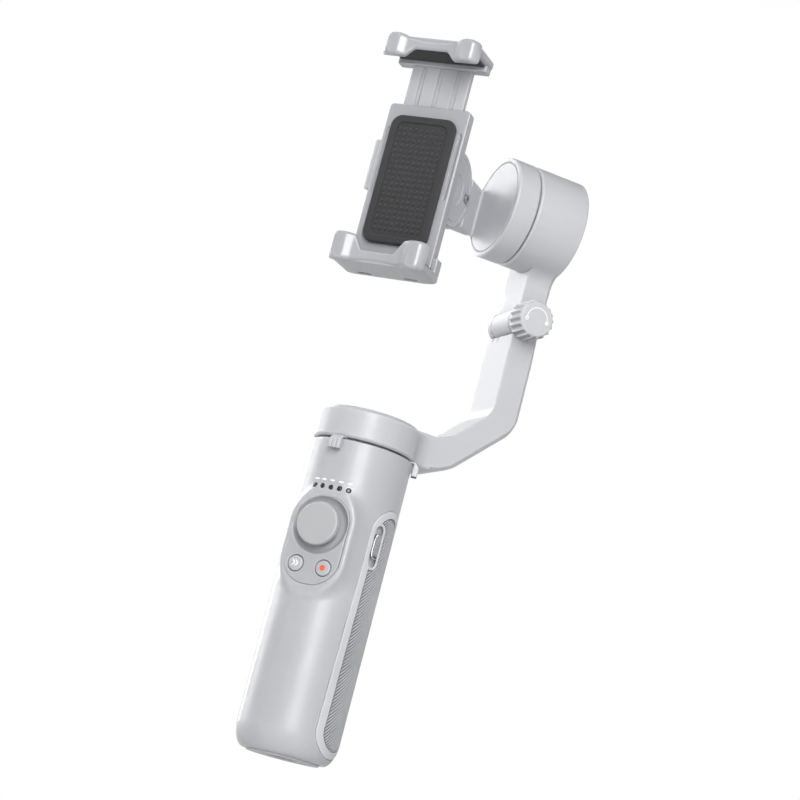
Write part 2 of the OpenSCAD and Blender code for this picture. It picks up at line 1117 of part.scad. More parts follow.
module tilt_windings() {
    color([0.75, 0.42, 0.2])
        on_tilt_axis()
            motor_windings();
}

module tilt_bell() {
    color([0.55, 0.56, 0.58])
        on_tilt_axis()
            motor_bell();
}

module tilt_magnets() {
    color([0.4, 0.4, 0.42])
        on_tilt_axis()
            motor_magnets();
}

module tilt_shaft() {
    color([0.75, 0.76, 0.78])
        on_tilt_axis()
            motor_shaft();
}

// ---- Clamp ----------------------------------------------------------------------

module bracket_screw_places() {
    for (i = [0 : 2])
        on_tilt_axis(bracket_low_x)
            rotate([0, 0, 30 + 120 * i])
                translate([bracket_screw_place, 0, 0])
                    children();
}

module clamp_bracket() {
    foot_high_x = -6;
    foot_h = 18;
    bell_face_x = tilt_base_x - motor_len;
    color([0.78, 0.79, 0.81])
        difference() {
            union() {
                on_tilt_axis(bracket_high_x)
                    cylinder(r = bracket_r, h = bracket_high_x - bracket_low_x);
                on_tilt_axis(bell_face_x)
                    cylinder(r = hub_r, h = bell_face_x - bracket_high_x + 1);
                translate([bracket_low_x, foot_front_y, clamp_z - foot_h / 2])
                    cube([foot_high_x - bracket_low_x, foot_back_y - foot_front_y, foot_h]);
                translate([bracket_low_x, foot_front_y, clamp_z - foot_h / 2])
                    cube([bracket_high_x - bracket_low_x, tilt_y - foot_front_y, foot_h]);
            }
            on_tilt_axis()
                cylinder(r = shaft_r, h = motor_len + 1);
            bracket_screw_places()
                screw_hole();
        }
}

module bracket_screws() {
    color([0.5, 0.5, 0.52])
        bracket_screw_places()
            cap_screw();
}

module clamp_frame() {
    color([0.74, 0.75, 0.77])
        difference() {
            translate([-frame_w / 2, frame_front_y, frame_low_z])
                cube([frame_w, frame_back_y - frame_front_y, frame_high_z - frame_low_z]);
            translate([-channel_w / 2, channel_front_y, channel_low_z])
                cube([channel_w, 10, frame_high_z]);
        }
}

module frame_cover() {
    color([0.6, 0.61, 0.63])
        from_front(frame_back_y + cover_t)
            linear_extrude(cover_t)
                translate([0, (frame_low_z + frame_high_z) / 2])
                    rounded_rect(frame_w - 1.5, frame_high_z - frame_low_z - 1.5, 2);
}

// Right half of a jaw's lip: z = 0 is the pad's face, and the lobe stands above it
module half_lip(lobe) {
    half_w = jaw_w / 2;
    root = [0, -jaw_t];
    heel = [half_w, -jaw_t];
    tip = [half_w, lobe];
    shoulder = [notch_w / 2 + lobe_slope, lobe];
    dip = [notch_w / 2, 0];
    polygon(concat(
        [root],
        corner(root, heel, tip, heel_round),
        corner(heel, tip, shoulder, tip_round),
        corner(tip, shoulder, dip, shoulder_round),
        corner(shoulder, dip, [0, 0], dip_round),
        [[0, 0]]));
}

// A jaw that faces up, with its pad's face at z = 0
module jaw(lobe) {
    for (side = [0, 1])
        mirror([side, 0, 0]) {
            from_front(lip_back_y)
                linear_extrude(lip_back_y - jaw_front_y)
                    half_lip(lobe);
            from_front(frame_back_y)
                linear_extrude(frame_back_y - lip_back_y)
                    intersection() {
                        half_lip(lobe);
                        translate([0, -jaw_t])
                            square([floor_w / 2, jaw_t - pad_t]);
                    }
        }
}

module jaw_pad() {
    translate([-pad_w / 2, lip_back_y + pad_play, -pad_t])
        cube([pad_w, frame_front_y - lip_back_y - 2 * pad_play, pad_t]);
}

// Places what faces up on the lower jaw, and mirrors it to face down on the upper one
module on_lower_jaw() {
    translate([0, 0, jaw_low_z])
        children();
}

module on_upper_jaw() {
    translate([0, 0, jaw_high_z])
        mirror([0, 0, 1])
            children();
}

module lower_jaw() {
    color([0.74, 0.75, 0.77])
        on_lower_jaw() {
            jaw(lower_lobe_h);
            for (side = [0, 1])
                mirror([side, 0, 0])
                    translate([frame_w / 2, frame_front_y, -pad_t - eps])
                        cube([(floor_w - frame_w) / 2, frame_back_y - frame_front_y, cheek_h]);
        }
}

module lower_pad() {
    color([0.16, 0.16, 0.17])
        on_lower_jaw()
            jaw_pad();
}

module back_pad() {
    color([0.16, 0.16, 0.17])
        from_front(frame_front_y)
            linear_extrude(rest_t)
                translate([0, rest_z])
                    rounded_rect(rest_w, rest_h, 4);
}

module clamp_springs() {
    pitch = (slide_low_z - channel_low_z - 2 * spring_wire_r - 0.4) / spring_coils;
    color([0.7, 0.71, 0.73])
        for (x = [-spring_x, spring_x], i = [0 : spring_coils])
            translate([x, (slide_front_y + slide_back_y) / 2,
                channel_low_z + spring_wire_r + 0.2 + pitch * i])
                rotate_extrude()
                    translate([spring_r, 0])
                        circle(spring_wire_r, $fn = 16);
}

module slide_plate() {
    translate([-slide_w / 2, slide_front_y, slide_low_z])
        cube([slide_w, slide_back_y - slide_front_y, slide_high_z - slide_low_z]);
}

module jaw_slide() {
    color([0.66, 0.67, 0.69])
        slide_plate();
}

module upper_jaw() {
    color([0.74, 0.75, 0.77])
        difference() {
            union() {
                on_upper_jaw()
                    jaw(upper_lobe_h);
                translate([-frame_w / 2 - wall_side, frame_front_y, wall_low_z])
                    cube([
                        frame_w + 2 * wall_side,
                        frame_back_y - frame_front_y,
                        jaw_high_z + pad_t + 1 - wall_low_z]);
            }
            slide_plate();
        }
}

module upper_pad() {
    color([0.16, 0.16, 0.17])
        on_upper_jaw()
            jaw_pad();
}

handle_shell();
base_plate();
tripod_insert();
grip_left();
grip_right();
control_plate();
led_lenses();
usb_port();
battery_cell();
battery_holder();
control_board();
button_switches();
joystick_base();
joystick_ring();
joystick_cap();
mode_button();
record_button();
zoom_slider();
pan_mount();
pan_bearings();
pan_stator();
pan_windings();
pan_bell();
pan_magnets();
pan_shaft();
lug_ring();
lower_arm();
hinge_pin();
lock_knob();
upper_arm();
roll_cover();
roll_cover_screws();
roll_bearings();
roll_stator();
roll_windings();
roll_bell();
roll_magnets();
roll_shaft();
roll_link();
tilt_housing();
tilt_cover();
tilt_cover_screws();
tilt_bearings();
tilt_stator();
tilt_windings();
tilt_bell();
tilt_magnets();
tilt_shaft();
clamp_bracket();
bracket_screws();
clamp_frame();
frame_cover();
lower_jaw();
lower_pad();
back_pad();
clamp_springs();
jaw_slide();
upper_jaw();
upper_pad();
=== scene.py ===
import json
from math import ceil, cos, hypot, pi, radians, sin, sqrt

import bpy
import numpy as np
from mathutils import Matrix, Vector


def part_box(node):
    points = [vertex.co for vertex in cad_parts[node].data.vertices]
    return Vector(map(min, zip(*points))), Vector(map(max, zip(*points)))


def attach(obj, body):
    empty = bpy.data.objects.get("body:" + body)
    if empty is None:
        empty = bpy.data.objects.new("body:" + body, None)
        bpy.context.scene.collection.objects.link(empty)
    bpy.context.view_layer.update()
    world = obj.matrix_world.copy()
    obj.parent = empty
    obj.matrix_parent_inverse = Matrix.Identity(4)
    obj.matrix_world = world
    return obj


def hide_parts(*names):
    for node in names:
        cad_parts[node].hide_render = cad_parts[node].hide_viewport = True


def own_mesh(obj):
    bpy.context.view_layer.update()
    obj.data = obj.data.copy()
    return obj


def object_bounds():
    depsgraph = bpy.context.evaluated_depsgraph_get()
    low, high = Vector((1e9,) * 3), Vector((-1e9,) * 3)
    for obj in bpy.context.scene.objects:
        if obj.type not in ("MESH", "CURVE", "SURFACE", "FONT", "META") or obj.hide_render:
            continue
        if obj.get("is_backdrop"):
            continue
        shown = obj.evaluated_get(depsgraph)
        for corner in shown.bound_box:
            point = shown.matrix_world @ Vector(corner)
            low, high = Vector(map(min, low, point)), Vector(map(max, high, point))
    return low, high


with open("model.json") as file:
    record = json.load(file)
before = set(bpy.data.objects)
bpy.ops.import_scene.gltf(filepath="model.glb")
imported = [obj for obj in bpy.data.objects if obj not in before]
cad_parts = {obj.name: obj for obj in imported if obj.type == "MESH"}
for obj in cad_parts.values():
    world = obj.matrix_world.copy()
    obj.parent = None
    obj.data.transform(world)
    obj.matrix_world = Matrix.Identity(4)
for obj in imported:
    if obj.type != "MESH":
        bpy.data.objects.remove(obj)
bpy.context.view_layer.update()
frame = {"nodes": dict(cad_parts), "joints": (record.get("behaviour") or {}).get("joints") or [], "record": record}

# Looks for a foldable phone gimbal. Each shell is the zero surface of a distance field, so
# that every edge has its real rounding. Fields work in millimetres; Blender gets metres.

RECORD = frame["record"]
SLOTS = {m["slot"]: m for m in RECORD["materials"]}
JOINTS = {j["name"]: j for j in frame["joints"]}
MM = 0.001
S = sqrt(0.5)


def node_box(node):
    low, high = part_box(node)
    return np.array(low) / MM, np.array(high) / MM


def node_middle(node):
    low, high = node_box(node)
    return (low + high) / 2


# ---- Distance fields

def both(a, b, r=0.0):
    """Inside a and b, with their outer edge rounded by r."""
    if r == 0:
        return np.maximum(a, b)
    return np.minimum(np.maximum(a, b), -r) + np.hypot(np.maximum(a + r, 0), np.maximum(b + r, 0))


def either(a, b, r=0.0):
    """Inside a or b, with the corner between them filled by a fillet of radius r."""
    if r == 0:
        return np.minimum(a, b)
    return np.maximum(np.minimum(a, b), r) - np.hypot(np.maximum(r - a, 0), np.maximum(r - b, 0))


def less(a, b, r=0.0):
    return both(a, -b, r)


def slab(t, low, high):
    return np.abs(t - (low + high) / 2) - (high - low) / 2


def rect(u, v, half_u, half_v, r=0.0):
    """A rounded rectangle round the origin."""
    du, dv = np.abs(u) - half_u + r, np.abs(v) - half_v + r
    return np.hypot(np.maximum(du, 0), np.maximum(dv, 0)) + np.minimum(np.maximum(du, dv), 0) - r


def block(x, y, z, low, high, r=0.0):
    half = [(h - l) / 2 for l, h in zip(low, high)]
    d = [np.abs(t - (l + h) / 2) - s + r for t, l, h, s in zip((x, y, z), low, high, half)]
    outside = np.sqrt(sum(np.maximum(t, 0) ** 2 for t in d))
    return outside + np.minimum(np.maximum(np.maximum(d[0], d[1]), d[2]), 0) - r


def convex(u, v, points, r=0.0):
    """A convex outline, given counter-clockwise."""
    field = None
    for (u0, v0), (u1, v1) in zip(points, points[1:] + points[:1]):
        length = hypot(u1 - u0, v1 - v0)
        side = ((u - u0) * (v1 - v0) - (v - v0) * (u1 - u0)) / length
        field = side if field is None else both(field, side, r)
    return field


def carve(body, *cuts):
    """Takes each cut away from body; a cut is a field and the rounding of its rim."""
    for cut, r in cuts:
        body = less(body, cut, r)
    return body


def turned(x, y, angle):
    """Distances along and across the direction at angle from +X."""
    c, s = cos(angle), sin(angle)
    return x * c + y * s, y * c - x * s


def across(x, y):
    """Distance from the pan axis in the arm's plane."""
    return (x + y) * S


def ahead(x, y):
    """Distance in front of the arm's middle plane."""
    return (x - y) * S


# ---- Meshing

SLICE = 400_000                  # grid points that are worked out at a time
BEND_REACH = 0.45                # mm; how wide an edge's wear and a crease's shade spread
BEND_FROM, BEND_RANGE = 0.3, 1.4


def gradient(field, p, step):
    g = np.empty_like(p)
    for i in range(3):
        d = np.zeros(3)
        d[i] = step
        g[:, i] = field(*(p + d).T) - field(*(p - d).T)
    return g / (2 * step)


def settle(field, p, cell, rounds=3):
    """Moves points onto the field's zero surface."""
    for _ in range(rounds):
        f = field(*p.T)
        g = gradient(field, p, 0.02)
        move = (f / np.maximum((g ** 2).sum(1), 0.05))[:, None] * g
        size = np.linalg.norm(move, axis=1, keepdims=True)
        p = p - move * np.minimum(1, 0.6 * cell / np.maximum(size, 1e-9))
    return p


def net(field, low, high, cell):
    """Points and quads of the field's zero surface, by surface nets."""
    origin = np.array(low, float) - 1.37 * cell
    counts = [int(ceil((h - l) / cell)) + 4 for l, h in zip(low, high)]
    ax = [o + cell * np.arange(n) for o, n in zip(origin, counts)]
    values = np.empty(counts, np.float32)
    step = max(1, SLICE // (counts[1] * counts[2]))
    for i in range(0, counts[0], step):
        x = ax[0][i:i + step, None, None]
        part = field(x, ax[1][None, :, None], ax[2][None, None, :])
        values[i:i + step] = np.broadcast_to(part, (len(x), counts[1], counts[2]))
    inside = values < 0
    corners = [(a, b, c) for a in (0, 1) for b in (0, 1) for c in (0, 1)]

    def shifted(grid, d):
        return grid[tuple(slice(k, n - 1 + k) for k, n in zip(d, grid.shape))]

    total = sum(shifted(inside, d).astype(np.int8) for d in corners)
    active = (total > 0) & (total < 8)
    ids = np.full(active.shape, -1, np.int64)
    cells = np.argwhere(active)
    ids[active] = np.arange(len(cells))
    at_corner = [values[tuple((cells + d).T)].astype(float) for d in corners]
    total = np.zeros((len(cells), 3))
    count = np.zeros(len(cells))
    for i, a in enumerate(corners):
        for j, b in enumerate(corners):
            if i < j and sum(abs(s - t) for s, t in zip(a, b)) == 1:
                crosses = (at_corner[i] < 0) != (at_corner[j] < 0)
                gap = np.where(crosses, at_corner[i] - at_corner[j], 1)
                t = np.where(crosses, at_corner[i] / gap, 0)[:, None]
                point = np.array(a) + t * (np.array(b) - np.array(a))
                total += point * crosses[:, None]
                count += crosses
    points = (cells + total / count[:, None]) * cell + origin
    quads = []
    for axis in range(3):
        u, v = [(1, 2), (2, 0), (0, 1)][axis]
        start = [slice(None)] * 3
        stop = [slice(None)] * 3
        start[axis], stop[axis] = slice(0, -1), slice(1, None)
        for w in (u, v):
            start[w] = stop[w] = slice(1, -1)
        one, two = inside[tuple(start)], inside[tuple(stop)]
        place = np.argwhere(one != two)
        flip = two[tuple(place.T)]
        place[:, [u, v]] += 1
        ring = []
        for du, dv in ((-1, -1), (0, -1), (0, 0), (-1, 0)):
            c = place.copy()
            c[:, u] += du
            c[:, v] += dv
            ring.append(ids[tuple(c.T)])
        ring = np.stack(ring, 1)
        ring[flip] = ring[flip][:, ::-1]
        quads.append(ring)
    return points, np.concatenate(quads)


def relax(field, p, quads, cell, rounds):
    ends = np.concatenate([quads[:, [i, (i + 1) % 4]] for i in range(4)])
    degree = np.bincount(ends.ravel(), minlength=len(p))[:, None]
    for _ in range(rounds):
        mean = np.zeros_like(p)
        for i in range(3):
            mean[:, i] = (np.bincount(ends[:, 0], p[ends[:, 1], i], len(p))
                          + np.bincount(ends[:, 1], p[ends[:, 0], i], len(p)))
        p = settle(field, p + 0.5 * (mean / degree - p), cell, 2)
    return p


def mesh_of(name, points, faces):
    """A mesh from points in millimetres and faces of one size."""
    mesh = bpy.data.meshes.new(name)
    size = faces.shape[1]
    mesh.vertices.add(len(points))
    mesh.vertices.foreach_set("co", (points * MM).astype(np.float32).ravel())
    mesh.loops.add(faces.size)
    mesh.loops.foreach_set("vertex_index", faces.astype(np.int32).ravel())
    mesh.polygons.add(len(faces))
    mesh.polygons.foreach_set("loop_start", np.arange(0, faces.size, size, dtype=np.int32))
    mesh.update(calc_edges=True)
    mesh.validate()
    return mesh


def thinned(obj, ratio):
    """Replaces obj's mesh by one with fewer faces."""
    modifier = obj.modifiers.new("thin", "DECIMATE")
    modifier.ratio = ratio
    graph = bpy.context.evaluated_depsgraph_get()
    made = bpy.data.meshes.new_from_object(obj.evaluated_get(graph))
    obj.modifiers.clear()
    old, obj.data = obj.data, made
    bpy.data.meshes.remove(old)


def coordinates(mesh):
    """The vertices in metres, one row each."""
    p = np.empty(len(mesh.vertices) * 3, np.float32)
    mesh.vertices.foreach_get("co", p)
    return p.reshape(-1, 3)


def mark(mesh, label, values):
    """Keeps one number for each vertex, which the materials read."""
    layer = mesh.attributes.new(label, "FLOAT", "POINT")
    layer.data.foreach_set("value", values.astype(np.float32))


def finish_piece(obj, body, material, replaces=()):
    collection = bpy.context.scene.collection
    if obj.name not in collection.objects:
        collection.objects.link(obj)
    obj.data.materials.clear()
    obj.data.materials.append(material)
    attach(obj, body)
    if replaces:
        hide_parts(*replaces)
    return obj


def shell(name, body, slot, node, field, cell, keep=1.0, box=None, material=None):
    """A piece that is the zero surface of field, with its normals and edge wear from the field.

    It stands for the CAD node and fills that node's box, unless box is given. cell is the pitch
    of its mesh in mm, and keep is the share of the faces that is left after thinning.
    """
    low, high = box or node_box(node)
    points, quads = net(field, low, high, cell)
    points = relax(field, settle(field, points, cell), quads, cell, 2)
    obj = bpy.data.objects.new(name, mesh_of(name, points, quads))
    bpy.context.scene.collection.objects.link(obj)
    if keep < 1:
        thinned(obj, keep)
    mesh = obj.data
    p = settle(field, coordinates(mesh).astype(float) / MM, cell, 2)
    mesh.vertices.foreach_set("co", (p * MM).astype(np.float32).ravel())
    normals = gradient(field, p, 0.3 * cell)
    normals /= np.maximum(np.linalg.norm(normals, axis=1, keepdims=True), 1e-6)
    bend = -6 * field(*p.T)
    for i in range(3):
        d = np.zeros(3)
        d[i] = BEND_REACH
        bend = bend + field(*(p + d).T) + field(*(p - d).T)
    bend = bend / BEND_REACH ** 2
    # edge marks convex edges, for wear; crease marks hollows, where the materials paint shade
    for label, value in (("edge", bend), ("crease", -bend)):
        mark(mesh, label, np.clip((value - BEND_FROM) / BEND_RANGE, 0, 1))
    mesh.polygons.foreach_set("use_smooth", np.ones(len(mesh.polygons), bool))
    mesh.normals_split_custom_set_from_vertices(normals.tolist())
    return finish_piece(obj, body, material or MATERIALS[slot], [node] if node else ())


def loft(name, body, material, rings, replaces=()):
    """A piece made of one or more tubes; each tube is a list of equal rings of points (mm)."""
    points, faces, base = [], [], 0
    for tube in rings:
        tube = np.asarray(tube, float)
        rows, columns = tube.shape[:2]
        points.append(tube.reshape(-1, 3))
        i, j = np.meshgrid(np.arange(rows - 1), np.arange(columns), indexing="ij")
        k = (j + 1) % columns
        near, far = i * columns, (i + 1) * columns
        faces.append(np.stack([near + j, near + k, far + k, far + j], -1).reshape(-1, 4) + base)
        for row, turn in ((0, -1), (rows - 1, 1)):
            middle = base + rows * columns + (0 if row == 0 else 1)
            fan = np.arange(columns)
            ends = np.stack([fan, (fan + 1) % columns], 1)[:, ::turn] + row * columns + base
            centre = np.full((columns, 1), middle)
            faces.append(np.concatenate([ends, centre, centre], 1))
        points.append(tube[[0, -1]].mean(1))
        base += rows * columns + 2
    points, faces = np.concatenate(points), np.concatenate(faces)
    mesh = bpy.data.meshes.new(name)
    mesh.from_pydata((points * MM).tolist(), [], [list(dict.fromkeys(f)) for f in faces.tolist()])
    mesh.polygons.foreach_set("use_smooth", np.ones(len(mesh.polygons), bool))
    mesh.update()
    return finish_piece(bpy.data.objects.new(name, mesh), body, material, replaces)


# ---- Materials

class Tree:
    """Short ways to add and join shader nodes."""

    def __init__(self, owner, shader, output, coordinates):
        self.owner = owner
        owner.use_nodes = True
        self.tree = owner.node_tree
        self.tree.nodes.clear()
        self.shader = self.add(shader)
        self.join(self.shader.outputs[0], self.add(output).inputs[0])
        self.place = self.add("ShaderNodeTexCoord").outputs[coordinates]

    def add(self, kind, at=None, **values):
        """Adds a node; at is what its first input takes."""
        made = self.tree.nodes.new(kind)
        for key, value in values.items():
            setattr(made, key, value)
        if at is not None:
            self.join(at, made.inputs[0])
        return made

    def join(self, source, target):
        if isinstance(source, bpy.types.NodeSocket):
            self.tree.links.new(source, target)
        else:
            target.default_value = source

    def math(self, kind, a, b):
        made = self.add("ShaderNodeMath", a, operation=kind)
        self.join(b, made.inputs[1])
        return made.outputs[0]

    def noise(self, scale, detail=2.0, stretch=None, rough=0.5):
        place = self.place
        if stretch:
            mapping = self.add("ShaderNodeMapping", place)
            mapping.inputs["Scale"].default_value = stretch
            place = mapping.outputs[0]
        made = self.add("ShaderNodeTexNoise", place)
        made.inputs["Scale"].default_value = scale
        made.inputs["Detail"].default_value = detail
        made.inputs["Roughness"].default_value = rough
        return made.outputs["Fac"]

    def spots(self, scale):
        made = self.add("ShaderNodeTexVoronoi", self.place)
        made.inputs["Scale"].default_value = scale
        return made.outputs["Distance"]

    def spread(self, value, low, high, to_low, to_high, kind="LINEAR"):
        made = self.add("ShaderNodeMapRange", value, interpolation_type=kind)
        for i, v in enumerate((low, high, to_low, to_high)):
            made.inputs[i + 1].default_value = v
        return made.outputs[0]

    def mix(self, share, a, b):
        made = self.add("ShaderNodeMix", share, data_type="RGBA")
        self.join(a if isinstance(a, bpy.types.NodeSocket) else (*a, 1), made.inputs[6])
        self.join(b if isinstance(b, bpy.types.NodeSocket) else (*b, 1), made.inputs[7])
        return made.outputs[2]

    def vary(self, noise, a, b):
        return self.mix(self.spread(noise, 0.3, 0.7, 0, 1), a, b)

    def attribute(self, name):
        return self.add("ShaderNodeAttribute", attribute_name=name).outputs["Fac"]

    def bump(self, height, strength, distance, after=None):
        made = self.add("ShaderNodeBump")
        made.inputs["Strength"].default_value = strength
        made.inputs["Distance"].default_value = distance
        self.tree.links.new(height, made.inputs["Height"])
        if after is not None:
            self.tree.links.new(after, made.inputs["Normal"])
        return made.outputs[0]

    def set(self, name, value):
        self.join(value, self.shader.inputs[name])


def surface(name):
    material = bpy.data.materials.new(name)
    return Tree(material, "ShaderNodeBsdfPrincipled", "ShaderNodeOutputMaterial", "Object")


def tint(colour, factor):
    return tuple(min(1.0, c * factor) for c in colour)


def plastic(name, colour, rough=0.42, grain=4200, depth=0.35, specular=0.5, wear=1.12, shade=0.4):
    """Moulded plastic: spark-eroded grain, faint flow mottling, fine rubs, paler worn edges and painted shade in
    the creases.
    """
    t = surface(name)
    fine = t.noise(grain, 3.0)
    pits = t.spots(grain * 0.55)
    cloud = t.noise(38, 3.0)
    mottle = t.noise(420, 2.0)
    rubs = t.noise(90, 4.0, (1.0, 1.0, 22.0), 0.7)
    base = t.vary(cloud, tint(colour, 0.97), tint(colour, 1.03))
    base = t.mix(t.spread(fine, 0.35, 0.7, 0, 0.1), base, tint(colour, 0.86))
    edge = t.math("MULTIPLY", t.attribute("edge"), t.spread(mottle, 0.3, 0.65, 0.25, 0.9))
    base = t.mix(edge, base, tint(colour, wear))
    # painted shade: creases are darkened towards half the colour, as far as shade says
    base = t.mix(t.math("MULTIPLY", t.attribute("crease"), shade), base, tint(colour, 0.5))
    t.set("Base Color", base)
    roughness = t.math("ADD", t.spread(mottle, 0.3, 0.7, rough - 0.035, rough + 0.035),
                       t.spread(rubs, 0.55, 0.8, 0, 0.09))
    t.set("Roughness", t.math("SUBTRACT", roughness, t.math("MULTIPLY", edge, 0.07)))
    height = t.math("ADD", fine, t.math("MULTIPLY", pits, 0.6))
    t.set("Normal", t.bump(height, depth, 0.00003, t.bump(cloud, 0.12, 0.0002)))
    t.set("Specular IOR Level", specular)
    return t.owner


def rubber(name, colour, rough=0.72):
    """Soft rubber: matt skin with tiny specks, paler dust, painted shade in the creases and on a grip well's
    floor, paler edges and a soft sheen.
    """
    t = surface(name)
    skin = t.noise(2600, 4.0, None, 0.65)
    dust = t.noise(160, 4.0, None, 0.6)
    cloud = t.noise(45, 2.0)
    base = t.vary(cloud, tint(colour, 0.93), tint(colour, 1.06))
    base = t.mix(t.spread(dust, 0.5, 0.8, 0, 0.22), base, tint(colour, 1.35))
    # painted shade: creases are darkened
    base = t.mix(t.math("MULTIPLY", t.attribute("crease"), 0.5), base, tint(colour, 0.6))
    base = t.mix(t.math("MULTIPLY", t.attribute("edge"), 0.5), base, tint(colour, 1.15))
    # painted shade: the floor of a grip's well is darkened to about a third of the colour
    base = t.mix(t.attribute("deep"), base, tint(colour, 0.35))
    t.set("Base Color", base)
    t.set("Roughness", t.spread(dust, 0.3, 0.7, rough - 0.06, rough + 0.08))
    t.set("Normal", t.bump(skin, 0.4, 0.00004, t.bump(t.spots(3400), 0.2, 0.00003)))
    t.set("Sheen Weight", 0.12)
    t.set("Sheen Roughness", 0.5)
    return t.owner


def metal(name, colour, rough=0.25, brushed=(1.0, 1.0, 1.0), tarnish=0.85):
    """Metal with machining marks along one direction, small scratches, tarnish and painted shade in the creases.
    """
    t = surface(name)
    marks = t.noise(1500, 3.0, brushed, 0.6)
    scratches = t.noise(700, 5.0, (0.06, 1.0, 1.0), 0.75)
    cloud = t.noise(120, 3.0)
    base = t.mix(t.spread(cloud, 0.35, 0.7, 0, 1), colour, tint(colour, tarnish))
    # painted shade: creases are darkened
    base = t.mix(t.math("MULTIPLY", t.attribute("crease"), 0.6), base, tint(colour, 0.45))
    t.set("Base Color", base)
    t.set("Metallic", 1.0)
    t.set("Roughness", t.math("ADD", t.spread(marks, 0.3, 0.7, rough - 0.05, rough + 0.06),
                              t.spread(scratches, 0.6, 0.8, 0, 0.08)))
    t.set("Normal", t.bump(marks, 0.18, 0.00002, t.bump(scratches, 0.1, 0.00002)))
    return t.owner


def glass_dark(name, colour):
    """A smoked lens: near-black, glossy, with fine dust and a mottled diffuser below."""
    t = surface(name)
    dust = t.noise(3800, 4.0, None, 0.7)
    cells = t.spots(5200)
    base = t.mix(t.spread(cells, 0.1, 0.6, 0, 0.6), tint(colour, 0.6), tint(colour, 1.6))
    base = t.mix(t.spread(dust, 0.6, 0.85, 0, 0.3), base, (0.3, 0.3, 0.3))
    t.set("Base Color", base)
    t.set("Roughness", t.spread(dust, 0.4, 0.8, 0.12, 0.4))
    t.set("Normal", t.bump(cells, 0.15, 0.00003))
    return t.owner


def windings_material(name, colour):
    """Enamelled wire: fine parallel turns."""
    t = surface(name)
    wave = t.add("ShaderNodeTexWave", t.place, wave_type="BANDS", bands_direction="DIAGONAL")
    wave.inputs["Scale"].default_value = 1400
    wave.inputs["Distortion"].default_value = 1.5
    turns = wave.outputs["Fac"]
    base = t.mix(turns, tint(colour, 0.55), colour)
    t.set("Base Color", base)
    t.set("Metallic", 0.9)
    t.set("Roughness", t.spread(t.noise(500), 0.3, 0.7, 0.25, 0.45))
    t.set("Normal", t.bump(turns, 0.6, 0.00008))
    return t.owner


def print_ink(name, colour):
    """Printed ink: slightly raised, with a soft broken surface."""
    t = surface(name)
    film = t.noise(5000, 3.0)
    t.set("Base Color", t.mix(t.spread(film, 0.3, 0.7, 0, 0.35), colour, tint(colour, 0.85)))
    t.set("Roughness", t.spread(film, 0.3, 0.7, 0.4, 0.6))
    t.set("Normal", t.bump(film, 0.2, 0.00002))
    return t.owner


def board(name, colour):
    """Circuit board: solder mask over tracks."""
    t = surface(name)
    tracks = t.add("ShaderNodeTexBrick", t.place)
    tracks.inputs["Scale"].default_value = 380
    tracks.inputs["Mortar Size"].default_value = 0.03
    lines = tracks.outputs["Fac"]
    t.set("Base Color", t.mix(lines, colour, tint(colour, 2.2)))
    t.set("Roughness", t.spread(t.noise(600), 0.3, 0.7, 0.25, 0.4))
    t.set("Normal", t.bump(lines, 0.3, 0.00005))
    return t.owner


def slot_colour(slot):
    return tuple(SLOTS[slot]["base_color"])


def from_slot(make, slot, factor=1.0, *rest, **settings):
    """A material for a slot of the record, in the slot's colour made darker by factor."""
    return make(slot, tint(slot_colour(slot), factor), *rest, **settings)


# shade sets how strongly painted shade darkens a plastic's creases; the knob's flutes get the most
MATERIALS = {
    "shell_grey": from_slot(plastic, "shell_grey", 0.7, 0.38, specular=0.9),
    "plate_grey": from_slot(plastic, "plate_grey", 0.82, 0.42, shade=0.8),
    "arm_grey": from_slot(plastic, "arm_grey", 0.75, 0.38, specular=0.6),
    "jaw_grey": from_slot(plastic, "jaw_grey", 0.72, 0.33, specular=1.0),
    "knob_grey": from_slot(plastic, "knob_grey", 0.88, 0.38, shade=1.6),
    "key_grey": from_slot(plastic, "key_grey", 0.6, 0.48, depth=0.45),
    "cover_grey": from_slot(plastic, "cover_grey", 1.0, 0.5),
    "dark_plastic": from_slot(plastic, "dark_plastic", 1.0, 0.5, wear=1.8),
    "battery_wrap": from_slot(plastic, "battery_wrap", 1.0, 0.3, 900, 0.2),
    "grip_rubber": rubber("grip_rubber", (0.54, 0.55, 0.575)),
    "pad_rubber": from_slot(rubber, "pad_rubber", 1.0, 0.78),
    "slider_chrome": from_slot(metal, "slider_chrome", 0.8, 0.22),
    "steel": from_slot(metal, "steel", 1.0, 0.3, (1.0, 1.0, 12.0)),
    "brass": from_slot(metal, "brass", 1.0, 0.28, (1.0, 1.0, 9.0), 0.8),
    "magnet": from_slot(metal, "magnet", 1.0, 0.4, tarnish=0.7),
    "copper": from_slot(windings_material, "copper"),
    "lens_black": from_slot(glass_dark, "lens_black"),
    "board_green": from_slot(board, "board_green"),
}
WHITE_KEY = plastic("white_key", (0.45, 0.455, 0.47), 0.4)
RIB_RUBBER = rubber("rib_rubber", (0.43, 0.44, 0.46), 0.6)
DIM_LENS = plastic("dim_lens", (0.22, 0.23, 0.24), 0.3)
WHITE_INK = print_ink("white_ink", (0.9, 0.9, 0.9))
RED_INK = print_ink("red_ink", (0.85, 0.12, 0.05))

for part in RECORD["subparts"]:
    cad = frame["nodes"][part["node"]]
    for holder in cad.material_slots:
        holder.material = MATERIALS[part["material_slot"]]

# ---- Main measures, from the CAD nodes

